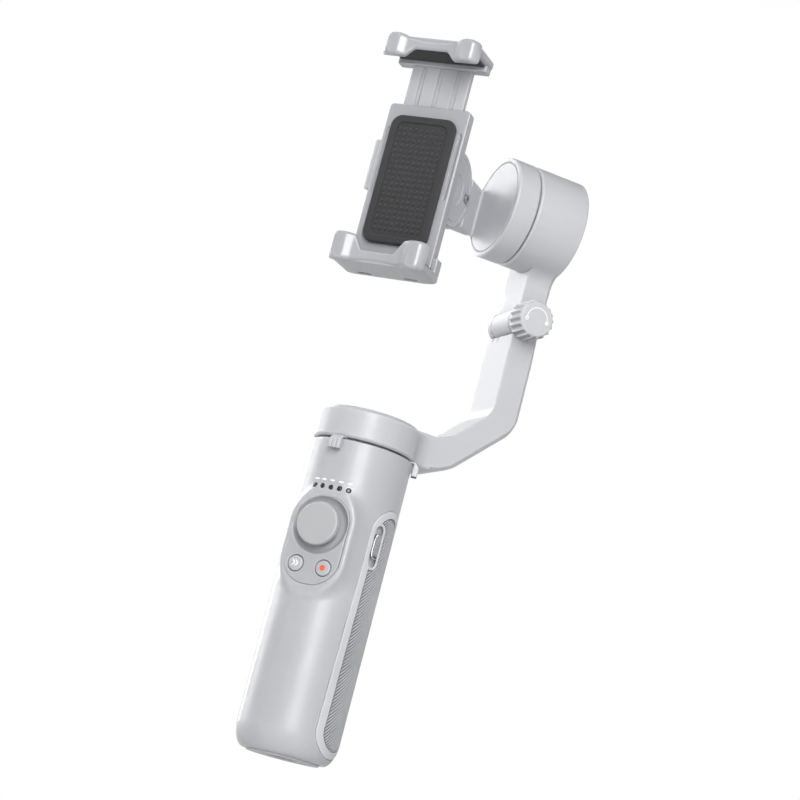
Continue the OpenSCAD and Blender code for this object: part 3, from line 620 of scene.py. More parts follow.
handle_h = node_box("handle_shell")[1][2]
plate_low, plate_high = node_box("control_plate")
plate_w, plate_h = plate_high[0] - plate_low[0], plate_high[2] - plate_low[2]
plate_z = (plate_low[2] + plate_high[2]) / 2
plate_face, plate_back = -plate_low[1], -plate_high[1]
stick_z = node_middle("joystick_cap")[2]
stick_r = (node_box("joystick_cap")[1][0] - node_box("joystick_cap")[0][0]) / 2
stick_face = -node_box("joystick_cap")[0][1]
button_x = node_middle("record_button")[0]
button_z = node_middle("record_button")[2]
led_z = node_middle("led_lenses")[2]
grip_low, grip_high = node_box("grip_right")
grip_mid_z = (grip_low[2] + grip_high[2]) / 2
usb_z = node_middle("usb_port")[2]
cap_low_z = node_box("lug_ring")[1][2]
fold = np.array(JOINTS["fold"]["pos_m"]) / MM
hinge_e, hinge_z = across(*fold[:2]), fold[2]
roll_z = JOINTS["roll"]["pos_m"][2] / MM
tilt_y = JOINTS["tilt"]["pos_m"][1] / MM
HANDLE_R = 17.3
HOLLOW_R = 14.9
GRIP_T = 1.1
INSERT_R = 5.5
FOOT_R, FOOT_LOW, FOOT_H = 13.3, 0.5, 9.0
DISC_R = 12.35
PLATE_CORNER = 9.0
LED_PITCH = radians(10.3)
LED_ANGLES = [(i - 2) * LED_PITCH for i in range(5)]
SLIDER_TURN = radians(-20)
SLIDER_Z = node_middle("zoom_slider")[2]
SLOT_W, SLOT_LEN, SLOT_FLOOR = 3.7, 14.1, 16.0
CAP_R, CAP_TOP = 17.35, 117.0
STRAP_BACK, STRAP_FRONT = -17.0, 3.0
INNER_E, OUTER_E = 41.3, 51.8
ARM_TOP_Z = 118.0
INNER_BEND, OUTER_BEND = 90.8, 77.0      # height minus distance along the two diagonals
BARREL_R, PIN_BORE = 5.35, 2.05
EAR_T, EAR_GAP = 2.8, 0.3
HEAD_R, HEAD_GROOVE_R = 18.2, 16.4


# ---- Handle

def stadium(u, v, w, h):
    return np.hypot(u, np.maximum(np.abs(v) - (h - w) / 2, 0)) - w / 2


def plate_outline(x, z, extra=0.0):
    corner = PLATE_CORNER + extra
    return rect(x, z - plate_z, plate_w / 2 + extra, plate_h / 2 + extra, corner)


def grip_outline(x, y, z, extra=0.0):
    widen = 1 + np.where(x > 0, 0.13 + 0.15 * np.clip((70 - z) / 60, 0, 1), 0)
    s = np.arctan2(y, np.abs(x)) * HANDLE_R / widen
    return stadium(s, z - grip_mid_z, grip_high[1] - grip_low[1] + 2 * extra,
                   grip_high[2] - grip_low[2] + 2 * extra)


def slider_slot(x, y, z, w, length, floor=8.0):
    out, u = turned(x, y, SLIDER_TURN)
    return np.maximum(stadium(u, z - SLIDER_Z, w, length), floor - out)


def button_holes(x, z, r):
    return np.hypot(np.abs(x) - button_x, z - button_z) - r


def skin_r(z):
    """The handle's radius at height z, with the rounding at its foot."""
    drop = np.clip((FOOT_H - z) / (FOOT_H - FOOT_LOW), 0, 1)
    return FOOT_R + (HANDLE_R - FOOT_R) * np.sqrt(1 - drop ** 2)


def handle_solid(x, y, z):
    r = np.hypot(x, y)
    wall = both(r - HANDLE_R, z - handle_h, 0.45)
    drop = np.minimum(z - FOOT_H, 0) / (FOOT_H - FOOT_LOW)
    foot = (np.hypot(np.maximum(r - FOOT_R, 0) / (HANDLE_R - FOOT_R), drop) - 1) * 4.3
    foot = both(foot, FOOT_LOW - z, 0.3)
    body = np.where(z < FOOT_H, np.maximum(foot, r - HANDLE_R), wall)
    island = both(plate_outline(x, z, 1.7), -17.25 - y, 1.3)
    body = either(body, both(island, y + 9), 4.0)
    return both(body, -17.4 - y, 0.5)


def handle_field(x, y, z):
    r = np.hypot(x, y)
    body = carve(handle_solid(x, y, z),
                 (both(r - HOLLOW_R, 4 - z), 0),
                 (both(plate_outline(x, z, 0.02), y + plate_back), 0.1),
                 (both(button_holes(x, z, 3.5), y + 9), 0),
                 (both(np.hypot(x, z - stick_z) - 4.6, y + 9), 0),
                 (both(r - INSERT_R, z - 10), 0.1),
                 (both(r - DISC_R - 0.08, z - 1), 0.1),
                 (both(grip_outline(x, y, z, 0.06), skin_r(z) - GRIP_T - r), 0.1),
                 (slider_slot(x, y, z, 3.4, SLOT_LEN, SLOT_FLOOR), 0.1))
    for angle in LED_ANGLES:
        u = x * cos(angle) + y * sin(angle)
        out = x * sin(angle) - y * cos(angle)
        wide = 1.3 if angle == LED_ANGLES[0] else 1.0
        body = less(body, both(np.hypot(u / wide, z - led_z) - 0.86, 10 - out), 0.06)
    port = both(stadium(z - usb_z, x, 3.3, 9.0), 10 - y)
    dish = both(stadium(z - usb_z, x, 6.2, 12.0), 16.75 - y, 0.4)
    return carve(body, (dish, 0.35), (port, 0.15))


shell("handle_skin", "handle", "shell_grey", "handle_shell", handle_field, 0.32, 0.3,
      box=((-HANDLE_R, -HANDLE_R - 0.2, 0), (HANDLE_R, HANDLE_R, handle_h)))


def base_field(x, y, z):
    r = np.hypot(x, y)
    body = both(both(r - DISC_R, 5.5 - r, 0.2), slab(z, 0, 1), 0.2)
    for i in range(3):
        angle = radians(60 + 120 * i)
        away = np.hypot(x - 8.8 * cos(angle), y - 8.8 * sin(angle))
        out, side = turned(x, y, radians(120 * i))
        slot = both(np.abs(out - 8.8) - 0.4, both(np.abs(side) - 2.2, z - 0.35))
        body = carve(body, (away - 1.2, 0.15), (slot, 0.1))
    return body


shell("base_disc", "handle", "cover_grey", "base_plate", base_field, 0.2, 0.5,
      box=((-DISC_R, -DISC_R, 0), (DISC_R, DISC_R, 1)))


def insert_field(x, y, z):
    r = np.hypot(x, y)
    pitch = 1.27
    turn = (z / pitch - np.arctan2(y, x) / (2 * pi)) % 1.0
    tooth = 2.55 + 0.55 * np.clip(1 - np.abs(turn * 2 - 1) * 1.15 + 0.1, 0, 1)
    body = both(r - 5.48, slab(z, 0.95, 9.5), 0.25)
    return carve(body, (both((r - tooth) * 0.7, z - 8), 0.1),
                 ((r - 3.3 - (0.95 - z) * 0.9) * 0.75, 0.05))


shell("thread_insert", "handle", "brass", "tripod_insert", insert_field, 0.18, 0.6,
      box=((-INSERT_R, -INSERT_R, 0), (INSERT_R, INSERT_R, 9.5)))


# ---- Controls

def plate_field(x, y, z):
    body = both(plate_outline(x, z), slab(y, -plate_face, -plate_back), 0.32)
    away = np.hypot(x, z - stick_z)
    bowl = both((away - 9.75 - (y + plate_face) * -0.35) * 0.94, y + plate_face - 1.6, 1.4)
    return carve(body, (bowl, 0.3), (away - 3.4, 0.2), (button_holes(x, z, 2.86), 0.16))


shell("control_panel", "handle", "plate_grey", "control_plate", plate_field, 0.22, 0.6)


def stick_field(x, y, z):
    away = np.hypot(x, z - stick_z)
    crown = y + stick_face - 0.002 * away ** 2
    puck = both(both(away - stick_r, -crown, 0.75), y + stick_face - 2.4, 0.4)
    puck = less(puck, np.hypot(away - stick_r + 0.05, y + stick_face - 1.25) - 0.12, 0.05)
    stem = both(away - 1.4, slab(y, -stick_face + 1, -11.2), 0.1)
    body = either(puck, stem, 0.8)
    for side in (-1, 1):
        middle = stick_z + side * 2
        pivot = both(np.hypot(x, y + 12.2) - 0.5, slab(z, middle - 0.8, middle + 0.8))
        body = either(body, pivot)
    return body


shell("stick_cap", "joystick", "key_grey", "joystick_cap", stick_field, 0.22, 0.7)


def button_field(centre):
    def field(x, y, z):
        away = np.hypot(x - centre, z - button_z)
        crown = y + plate_face + 0.5 - 0.035 * away ** 2
        key = both(both(away - 2.6, -crown, 0.5), y + 14.3)
        return either(key, both(away - 3.1, slab(y, -15.0, -14.2), 0.1))
    return field


for key, centre in (("mode", -button_x), ("record", button_x)):
    shell(key + "_key_cap", key + "_key", "key_grey", key + "_button", button_field(centre), 0.14,
          0.6, material=WHITE_KEY)


def disc_mark(x, y, z, r, thick, axis, sides=28):
    """Rings of a thin pillow-edged disc whose flat faces look along axis."""
    axis = Vector(axis).normalized()
    turn = axis.to_track_quat("Z", "Y")
    rings = []
    for radius, height in ((0.82, 0), (0.97, 0.25), (1.0, 0.6), (0.9, 0.9), (0.6, 1.0)):
        ring = []
        for i in range(sides):
            t = 2 * pi * i / sides
            p = turn @ Vector((radius * r * cos(t), radius * r * sin(t), height * thick))
            ring.append((x + p.x, y + p.y, z + p.z))
        rings.append(ring)
    return rings


BAR_SECTION = ((-1, 0), (-0.9, 0.7), (-0.5, 1), (0.5, 1), (0.9, 0.7), (1, 0),
               (0.5, -0.4), (-0.5, -0.4))


def bar_mark(points, half, thick, axis):
    """Rings of a thin rounded bar along points, on a face that looks along axis."""
    axis = Vector(axis).normalized()
    rings = []
    points = [Vector(p) for p in points]
    for i, p in enumerate(points):
        along = (points[min(i + 1, len(points) - 1)] - points[max(i - 1, 0)]).normalized()
        side = along.cross(axis).normalized()
        end = 0.35 if i in (0, len(points) - 1) else 1.0
        ring = []
        for u, v in BAR_SECTION:
            q = p + side * (u * half * end) + axis * (v * thick)
            ring.append((q.x, q.y, q.z))
        rings.append(ring)
    return rings


KEY_TOP = -plate_face - 0.5
loft("record_dot", "record_key", RED_INK,
     [disc_mark(button_x, KEY_TOP + 0.03, button_z, 0.95, 0.08, (0, -1, 0))])
CHEVRON = ((-0.45, 0.1, 1.15), (0.2, 0.05, 0.5), (0.62, 0.03, 0),
           (0.2, 0.05, -0.5), (-0.45, 0.1, -1.15))
chevrons = []
for middle in (-button_x - 0.75, -button_x + 0.35):
    points = [(middle + u, KEY_TOP + v, button_z + w) for u, v, w in CHEVRON]
    chevrons.append(bar_mark(points, 0.27, 0.07, (0, -1, 0)))
loft("mode_mark", "mode_key", WHITE_INK, chevrons)


def surface_radius(angle):
    """How far the handle's skin is from the pan axis at the lights' height."""
    radii = np.linspace(16.5, 19.5, 301)
    outside = handle_solid(radii * sin(angle), -radii * cos(angle), led_z + 0 * radii) > 0
    return float(radii[outside.argmax()])


LENS_FOOT = 14.95                # where a light's lens starts, from the pan axis
LENS_SINK = 0.22
lenses, rims, dashes = [], [], []
for i, angle in enumerate(LED_ANGLES):
    out = Vector((sin(angle), -cos(angle), 0))
    side = Vector((cos(angle), sin(angle), 0))
    at = out * LENS_FOOT + Vector((0, 0, led_z))
    tall = surface_radius(angle) - LENS_FOOT - LENS_SINK
    for shift in (-0.3, 0.3) if i == 0 else (0,):
        lenses.append(disc_mark(*(at + side * shift), 0.84, tall, out))
    if i == 4:
        rims.append(disc_mark(*(at + out * (tall - 0.05)), 0.52, 0.12, out))
    wide = 1.25 if i == 0 else 0.9
    turn = [angle + wide / HANDLE_R * k for k in (-1, -0.5, 0, 0.5, 1)]
    dashes.append(bar_mark([(HANDLE_R * sin(t), -HANDLE_R * cos(t), led_z + 2.3) for t in turn],
                           0.3, 0.04, out))
loft("lights_dark", "handle", MATERIALS["lens_black"], lenses, ["led_lenses"])
loft("lights_rim", "handle", DIM_LENS, rims)
loft("light_marks", "handle", WHITE_INK, dashes)


# ---- Side grips

RIB_PITCH = 1.3
RIB_INSET = 2.4
WELL_DEPTH = 0.5
RIB_STEPS = 240
RIB_SECTION = ((-1, -0.3), (-0.85, 0.55), (-0.4, 1), (0.4, 1), (0.85, 0.55), (1, -0.3))


def grip_field(with_slot):
    def field(x, y, z):
        r = np.hypot(x, y)
        outline = grip_outline(x, y, z)
        body = both(outline, r - skin_r(z) - 0.1, 0.25)
        body = both(body, skin_r(z) - GRIP_T - r)
        well = grip_outline(x, y, z, -RIB_INSET)
        if with_slot:
            well = both(well, 0.9 - slider_slot(x, y, z, SLOT_W, SLOT_LEN), 0.4)
        body = less(body, both(well, skin_r(z) - WELL_DEPTH - r), 0.15)
        if with_slot:
            body = less(body, slider_slot(x, y, z, SLOT_W, SLOT_LEN), 0.3)
            body = both(body, -x)
        else:
            body = both(body, x)
        return body
    return field


def mark_well_shade(obj):
    """Marks the points on the floor of a grip's well, which the rubber darkens as painted shade."""
    x, y, z = coordinates(obj.data).T / MM
    deep = (np.hypot(x, y) < skin_r(z) - 0.3) & (grip_outline(x, y, z, -RIB_INSET) < 0.1)
    mark(obj.data, "deep", deep)


for hand, x_range in (("right", (6, 17.45)), ("left", (-17.45, -6))):
    low, high = zip(x_range, (-16.5, 16.5), (grip_low[2], grip_high[2]))
    mark_well_shade(shell("grip_skin_" + hand, "handle", "grip_rubber", "grip_" + hand,
                    grip_field(hand == "right"), 0.26, 0.5, box=(low, high)))


def grip_ribs(side):
    """Slanted ribs that fill the grip's well; each is a small arched bar on the round."""
    half_w, half_h = (grip_high[1] - grip_low[1]) / 2 * 1.3, (grip_high[2] - grip_low[2]) / 2
    tubes = []
    count = int((half_w + half_h) / RIB_PITCH)
    for k in range(-count, count + 1):
        start = k * RIB_PITCH
        s = np.linspace(-half_w, half_w, RIB_STEPS)
        z = grip_mid_z + start + s
        angle = s / HANDLE_R
        x, y = HANDLE_R * np.cos(angle), HANDLE_R * np.sin(angle)
        clear = -grip_outline(x, y, z, -RIB_INSET - 0.12)
        if side > 0:
            clear = np.minimum(clear, slider_slot(x, y, z, SLOT_W, SLOT_LEN) - 1.05)
        runs = np.split(np.arange(RIB_STEPS), np.flatnonzero(np.diff((clear > 0).astype(int))) + 1)
        for run in runs:
            if clear[run[0]] <= 0 or len(run) < 6:
                continue
            ends = np.linspace(s[run[0]], s[run[-1]], max(4, len(run) // 12))
            tube = []
            for i, u in enumerate(ends):
                tip = 0.25 if i in (0, len(ends) - 1) else 1.0
                ring = []
                for a, out in RIB_SECTION:
                    shift = a * 0.27 * tip
                    t = (u + shift * S) / HANDLE_R
                    tall = grip_mid_z + start + u - shift * S
                    proud = 0.56 * (out if out < 0 else out * (0.3 + 0.7 * tip))
                    rad = float(skin_r(tall)) - WELL_DEPTH + proud
                    ring.append((side * rad * cos(t), rad * sin(t), tall))
                tube.append(ring if side > 0 else ring[::-1])
            tubes.append(tube)
    return tubes


for hand, side in (("right", 1), ("left", -1)):
    loft("grip_ribs_" + hand, "handle", RIB_RUBBER, grip_ribs(side))


def slider_field(x, y, z):
    out, u = turned(x, y, SLIDER_TURN)
    v = z - SLIDER_Z
    saddle = 17.3 + 0.8 * np.clip(np.abs(v) / 4.4, 0, 1) ** 3
    lever = both(both(stadium(u, v, 2.9, 8.7), out - saddle, 0.35), SLOT_FLOOR + 0.2 - out, 0.1)
    for k in (-1, 0, 1):
        lever = less(lever, np.hypot(v - k * 0.9, out - 17.55) - 0.3, 0.06)
    return lever


slider_low, slider_high = node_box("zoom_slider")
shell("zoom_lever", "zoom_key", "slider_chrome", "zoom_slider", slider_field, 0.15, 0.6,
      box=(slider_low - (1, 2, 0), slider_high + (1, 1, 0)))


TONGUE = (-3.3, 14.7, usb_z - 0.35), (3.3, 16.7, usb_z + 0.35)


def tongue_field(x, y, z):
    body = block(x, y, z, *TONGUE, 0.12)
    for mid in np.arange(-4, 5) * 0.6:
        contact = block(x, y, z, (mid - 0.15, 15.2, usb_z + 0.27), (mid + 0.15, 16.5, usb_z + 1))
        body = less(body, contact)
    return body


shell("port_tongue", "handle", "dark_plastic", None, tongue_field, 0.12, box=TONGUE)


# ---- Pan head and lower arm

def lug_field(x, y, z):
    r = np.hypot(x, y)
    body = both(both(r - 14.2, 13 - r, 0.1), slab(z, cap_low_z - 0.5, cap_low_z), 0.1)
    for i in range(3):
        out, side = turned(x, y, radians(-96 + 120 * i))
        post = block(out, side, z, (17.7, -2.1, cap_low_z - 5.4), (19.7, 2.1, cap_low_z), 0.45)
        post = both(post, (out - 19.7 + z - cap_low_z + 1.5) * S, 0.25)
        post = less(post, np.hypot(out - 19.95, np.abs(side) - 0.8) - 0.42, 0.15)
        top = block(out, side, z, (13.5, -2.1, cap_low_z - 0.5), (18.2, 2.1, cap_low_z), 0.1)
        body = either(body, either(post, top))
    return body


shell("lug_band", "pan_arm", "arm_grey", "lug_ring", lug_field, 0.22, 0.5)


def hinge_away(e, z):
    return np.hypot(e - hinge_e, z - hinge_z)


def strap_outline(e, z):
    inner = either(either(z - ARM_TOP_Z, (z - e - INNER_BEND) * S, 3.0), INNER_E - e, 2.0)
    outer = both(both(cap_low_z - z, (e + OUTER_BEND - z) * S, 4.7), e - OUTER_E, 3.5)
    return inner, outer


def knuckle_room(e, z, up):
    u, v = e - hinge_e, (z - hinge_z) * up
    step = np.maximum(-u, v - 7.2)
    ledge = np.maximum(u, v - BARREL_R + 0.1)
    return np.minimum(np.minimum(np.hypot(u, v) - BARREL_R - 0.15, np.minimum(step, ledge)), v)


def knuckle_sides(e, z, up):
    u, v = e - hinge_e, (z - hinge_z) * up
    slant = (u - (OUTER_E - hinge_e) + (14 - v) * 0.075) * 0.997
    return np.maximum(slant, 0.1 - v)


def lower_arm_field(x, y, z):
    e, a = across(x, y), ahead(x, y)
    r = np.hypot(x, y)
    inner, outer = strap_outline(e, z)
    barrel = hinge_away(e, z) - BARREL_R
    thick = slab(a, STRAP_BACK, STRAP_FRONT)
    bar = both(both(outer, thick, 0.15), (outer + thick + 1.5) * S, 0.15)
    bar = both(bar, inner, 0.3)
    bar = both(bar, knuckle_sides(e, z, -1))
    bar = both(bar, 8 - e)
    ears = np.minimum(both(slab(a, STRAP_BACK, STRAP_BACK + EAR_T - 0.15), barrel, 0.3),
                      both(slab(a, STRAP_FRONT - EAR_T, STRAP_FRONT), barrel, 0.3))
    bar = less(either(bar, ears),
               both(knuckle_room(e, z, -1), slab(a, STRAP_BACK + EAR_T, STRAP_FRONT - EAR_T)), 0.15)
    bar = less(bar, both(np.maximum(e - hinge_e, hinge_z - BARREL_R + 0.1 - z), -barrel), 0.12)
    plan = either(r - CAP_R, np.maximum(thick, -e), 5.0)
    cap = both(plan, (plan + cap_low_z - z + 0.75) * S, 0.2)
    cap = both(cap, cap_low_z - z, 0.1)
    cap = both(cap, (plan + z - CAP_TOP + 1.3) * S, 0.12)
    cap = np.maximum(both(cap, z - CAP_TOP, 0.2), e - 24)
    body = carve(either(bar, cap),
                 (both(r - 12.6, z - cap_low_z - 0.4), 0),
                 (hinge_away(e, z) - PIN_BORE, 0.1))
    top = hinge_z - BARREL_R
    for mid in (-12.6, -8.6):
        slit = block(e, a, z, (41.0, mid - 0.22, top - 1.7), (42.0, mid + 0.22, top + 1))
        body = less(body, slit, 0.06)
    return less(body, np.hypot(np.hypot(e, a) - 8.5, z - CAP_TOP - 0.05) - 0.35, 0.12)


shell("lower_arm_skin", "pan_arm", "arm_grey", "lower_arm", lower_arm_field, 0.36, 0.4)


def pin_field(x, y, z):
    e, a = across(x, y), ahead(x, y)
    away = hinge_away(e, z)
    body = both(away - 2, slab(a, STRAP_BACK, 9.5), 0.25)
    angle = np.arctan2(z - hinge_z, e - hinge_e)
    sector = (angle % (pi / 3)) - pi / 6
    hexagon = away * np.cos(sector) - 0.95
    return less(body, both(hexagon, a - STRAP_BACK - 1.2), 0.08)


shell("hinge_bolt", "pan_arm", "steel", "hinge_pin", pin_field, 0.2, 0.5)


KNOB_R, KNOB_FACE, FLUTES = 6.95, 12.0, 18
MARK_R = 3.85                    # of the arc of dots on the knob


def knob_field(x, y, z):
    e, a = across(x, y), ahead(x, y)
    away = hinge_away(e, z)
    angle = np.arctan2(z - hinge_z, e - hinge_e)
    pitch = 2 * pi / FLUTES
    near = (angle + pitch / 2) % pitch - pitch / 2
    flute = np.hypot(away * np.cos(near) - 7.15, away * np.sin(near)) - 1.08
    side = less(away - KNOB_R, flute, 0.2)
    body = both(side, (away - 5.75 + (a - KNOB_FACE)) * S, 0.2)
    body = both(body, a - KNOB_FACE, 0.25)
    body = both(body, 3.35 - a, 0.35)
    return less(body, both(away - PIN_BORE, a - 11), 0)


knob_low, knob_high = node_box("lock_knob")
shell("knob_skin", "knob", "knob_grey", "lock_knob", knob_field, 0.18, 0.6,
      box=(knob_low - 0.5, knob_high + 0.5))


def on_knob(degrees, a=11.98):
    """A place on the knob's face, on the circle of its marks."""
    t = radians(degrees)
    e = hinge_e + MARK_R * cos(t)
    return ((e + a) * S, (e - a) * S, hinge_z + MARK_R * sin(t))


FRONT = (S, -S, 0)
dots = [disc_mark(*on_knob(d), 0.24, 0.05, FRONT, 10) for d in range(8, 184, 9)]
ring_points = []
centre = Vector(on_knob(192))
for k in range(17):
    t = 2 * pi * k / 17
    ring_points.append(centre + Vector((S, S, 0)) * (0.5 * cos(t)) + Vector((0, 0, 0.5 * sin(t))))
dots.append(bar_mark(ring_points, 0.2, 0.05, FRONT))
dots.append(disc_mark(*on_knob(-7), 0.72, 0.05, FRONT, 20))
loft("knob_marks", "knob", WHITE_INK, dots)


# ---- Upper arm and roll motor

def upper_arm_field(x, y, z):
    e, a = across(x, y), ahead(x, y)
    back = STRAP_BACK + EAR_T + EAR_GAP
    barrel = hinge_away(e, z) - BARREL_R
    high = np.hypot(a, z - roll_z)
    plan = either(np.maximum(slab(a, back, STRAP_FRONT), z - roll_z), high - HEAD_R, 4.0)
    strap = both(both(plan, e - OUTER_E, 0.15), (plan + e - OUTER_E + 1.5) * S, 0.15)
    strap = both(strap, INNER_E - e, 0.3)
    sides = knuckle_sides(e, z, 1)
    strap = both(strap, np.where(z < hinge_z + 14, sides, -30))
    front_room = both(knuckle_room(e, z, 1), -0.15 - a)
    strap = less(strap, front_room, 0.2)
    middle = both(barrel, slab(a, back + 0.1, -0.25), 0.35)
    root = np.maximum(np.maximum(sides, INNER_E - e), z - hinge_z - 12)
    root = both(root, np.where(e < hinge_e, hinge_z + 3.4 - z, -9.0))
    middle = np.minimum(middle, both(root, slab(a, back, -0.1), 0.2))
    head = both(high - HEAD_R, slab(e, 33, OUTER_E), 0.9)
    notch = block(e, a, z, (41.0, back - 0.3, hinge_z + 5.6),
                  (42.1, back + 0.8, hinge_z + 7.0), 0.1)
    return carve(either(either(strap, middle), head),
                 (both(high - 15.4, e - 49), 0.3),
                 (hinge_away(e, z) - PIN_BORE, 0.1),
                 (np.hypot(high - HEAD_GROOVE_R, e - OUTER_E) - 0.3, 0.12),
                 (notch, 0.1))


shell("upper_arm_skin", "roll_arm", "arm_grey", "upper_arm", upper_arm_field, 0.36, 0.4)


def tilt_away(y, z):
    return np.hypot(y - tilt_y, z - roll_z)


def cover_field(away, out, angle, r, low, high, screw_r, first):
    """A motor's cover: a shallow dished disc with a turned groove and three screw seats."""
    body = carve(both(away - r, slab(out, low, high), 0.25),
                 (np.hypot(away - r + 1.8, out - high) - 0.22, 0.08),
                 (both(away - 5.2, high - 0.25 - out), 0.12))
    for i in range(3):
        t = radians(first + 120 * i)
        seat = away ** 2 + screw_r ** 2 - 2 * away * screw_r * np.cos(angle - t)
        seat = np.sqrt(np.maximum(seat, 1e-9))
        body = carve(body, (both(seat - 1.75, high - 0.2 - out), 0.1), (seat - 0.7, 0))
    return body


def roll_cover_field(x, y, z):
    e, a = across(x, y), ahead(x, y)
    away = np.hypot(a, z - roll_z)
    return cover_field(away, e, np.arctan2(a, z - roll_z), 14.5,
                       OUTER_E, OUTER_E + 0.8, 10, ROLL_SCREWS)


def tilt_cover_field(x, y, z):
    away = tilt_away(y, z)
    return cover_field(away, x, np.arctan2(y - tilt_y, z - roll_z), 13.0, 7.0, 7.8, 9, TILT_SCREWS)


def screw_angle(node, turn):
    """The angle of one screw in the CAD, for the seats in the covers."""
    points = np.array([v.co for v in frame["nodes"][node].data.vertices]) / MM
    u, v = turn(points)
    far = np.hypot(u, v)
    angles = np.degrees(np.arctan2(u, v))[far > far.mean()]
    return float(np.degrees(np.angle(np.exp(3j * np.radians(angles)).sum())) / 3)


ROLL_SCREWS = screw_angle("roll_cover_screws",
                          lambda p: (ahead(p[:, 0], p[:, 1]), p[:, 2] - roll_z))
TILT_SCREWS = screw_angle("tilt_cover_screws", lambda p: (p[:, 1] - tilt_y, p[:, 2] - roll_z))
shell("roll_cap", "roll_arm", "cover_grey", "roll_cover", roll_cover_field, 0.28, 0.4)
shell("tilt_cap", "tilt_arm", "cover_grey", "tilt_cover", tilt_cover_field, 0.25, 0.4)


# ---- Roll link and tilt motor

TILT_R = 14


def flange_point(a, e=25.0):
    return ((e + a) * S, (e - a) * S)


def roll_link_field(x, y, z):
    e, a = across(x, y), ahead(x, y)
    high = np.hypot(a, z - roll_z)
    flange = both(high - HEAD_R, slab(e, 24, 32.6), 0.9)
    hub = both(high - 8, slab(e, 30, 35.5), 0.3)
    outline = [(-7, tilt_y + 9), (7, tilt_y + 9), (7, tilt_y + 13.6),
               flange_point(1), flange_point(-14)]
    neck = both(convex(x, y, outline, 0.4), slab(z, roll_z - 9.5, roll_z + 9.5), 1.8)
    return carve(np.minimum(either(neck, flange, 1.5), hub),
                 (both(tilt_away(y, z) - TILT_R - 0.03, x - 7.8), 0),
                 (np.hypot(high - HEAD_GROOVE_R, e - 24) - 0.3, 0.12))


shell("roll_link_skin", "tilt_arm", "arm_grey", "roll_link", roll_link_field, 0.36, 0.4)


def housing_field(x, y, z):
    away = tilt_away(y, z)
    return carve(both(away - TILT_R, slab(x, -14.2, 7), 0.8),
                 (both(away - 12.8, x + 2), 0.3),
                 (np.hypot(away - TILT_R - 0.05, x - 4.6) - 0.3, 0.12))


shell("tilt_can", "tilt_arm", "arm_grey", "tilt_housing", housing_field, 0.34, 0.4)


# ---- Clamp

def bracket_field(x, y, z):
    away = tilt_away(y, z)
    disc = both(away - 13, slab(x, -19, -16), 0.8)
    hub = both(away - 8, slab(x, -17, -15.5), 0.2)
    v = z - roll_z
    plan = either(rect(x + 17.5, y + 4.95, 1.5, 7.95, 0.3),
                  rect(x + 12.5, y + 12.15, 6.5, 0.75, 0.3), 1.2)
    foot = both(plan, np.abs(v) - 9, 0.7)
    face = either(away - 13, rect(y + 4.95, v, 7.95, 9, 1), 3.0)
    web = both(both(face, slab(x, -19, -16), 0.7), -12.9 - y, 0.3)
    body = either(either(disc, hub), either(foot, web))
    return less(body, np.hypot(away - 11, x + 19) - 0.25, 0.1)


shell("clamp_bracket_skin", "clamp", "arm_grey", "clamp_bracket", bracket_field, 0.3, 0.45)

frame_lo, frame_hi = node_box("clamp_frame")
frame_mid_z = (frame_lo[2] + frame_hi[2]) / 2
back_lo, back_hi = node_box("back_pad")


def frame_field(x, y, z):
    body = both(rect(x, z - frame_mid_z, 15, (frame_hi[2] - frame_lo[2]) / 2, 1.6),
                slab(y, frame_lo[1], frame_hi[1]), 0.5)
    channel = both(both(np.abs(x) - 11.4, -17 - y), 170.5 - z)
    groove = both(stadium(np.abs(x) - 13.4, z - 203, 0.9, 24), y - frame_lo[1] - 0.4)
    return carve(body, (channel, 0.15), (groove, 0.12))


shell("clamp_frame_skin", "clamp", "jaw_grey", "clamp_frame", frame_field, 0.32, 0.4)

rear_lo, rear_hi = node_box("frame_cover")


def frame_cover_field(x, y, z):
    body = both(rect(x, z - (rear_lo[2] + rear_hi[2]) / 2, 14.25, (rear_hi[2] - rear_lo[2]) / 2, 2),
                slab(y, rear_lo[1], rear_hi[1]), 0.35)
    for k in range(-3, 4):
        vent = stadium(z - 216.5 - k * 1.4, x, 0.7, 16)
        body = less(body, both(vent, rear_hi[1] - 0.35 - y), 0.12)
    return body


shell("frame_cover_skin", "clamp", "cover_grey", "frame_cover", frame_cover_field, 0.28, 0.4)

OPEN_LOW = node_box("lower_pad")[1][2]
OPEN_HIGH = node_box("upper_pad")[0][2]
JAW_W, JAW_T, PAD_T = 18.3, 4.6, 0.85
LIP_FRONT, LIP_BACK, FRAME_BACK = -31.8, -28.4, -14.0
LOBE_X, LOBE_Y, LOBE_R = 13.3, -27.2, 4.6
LIFT = 1.1                       # the upper jaw is opened a little past the CAD's rest place


def lifted(node):
    low, high = node_box(node)
    return low, high + (0, 0, LIFT)


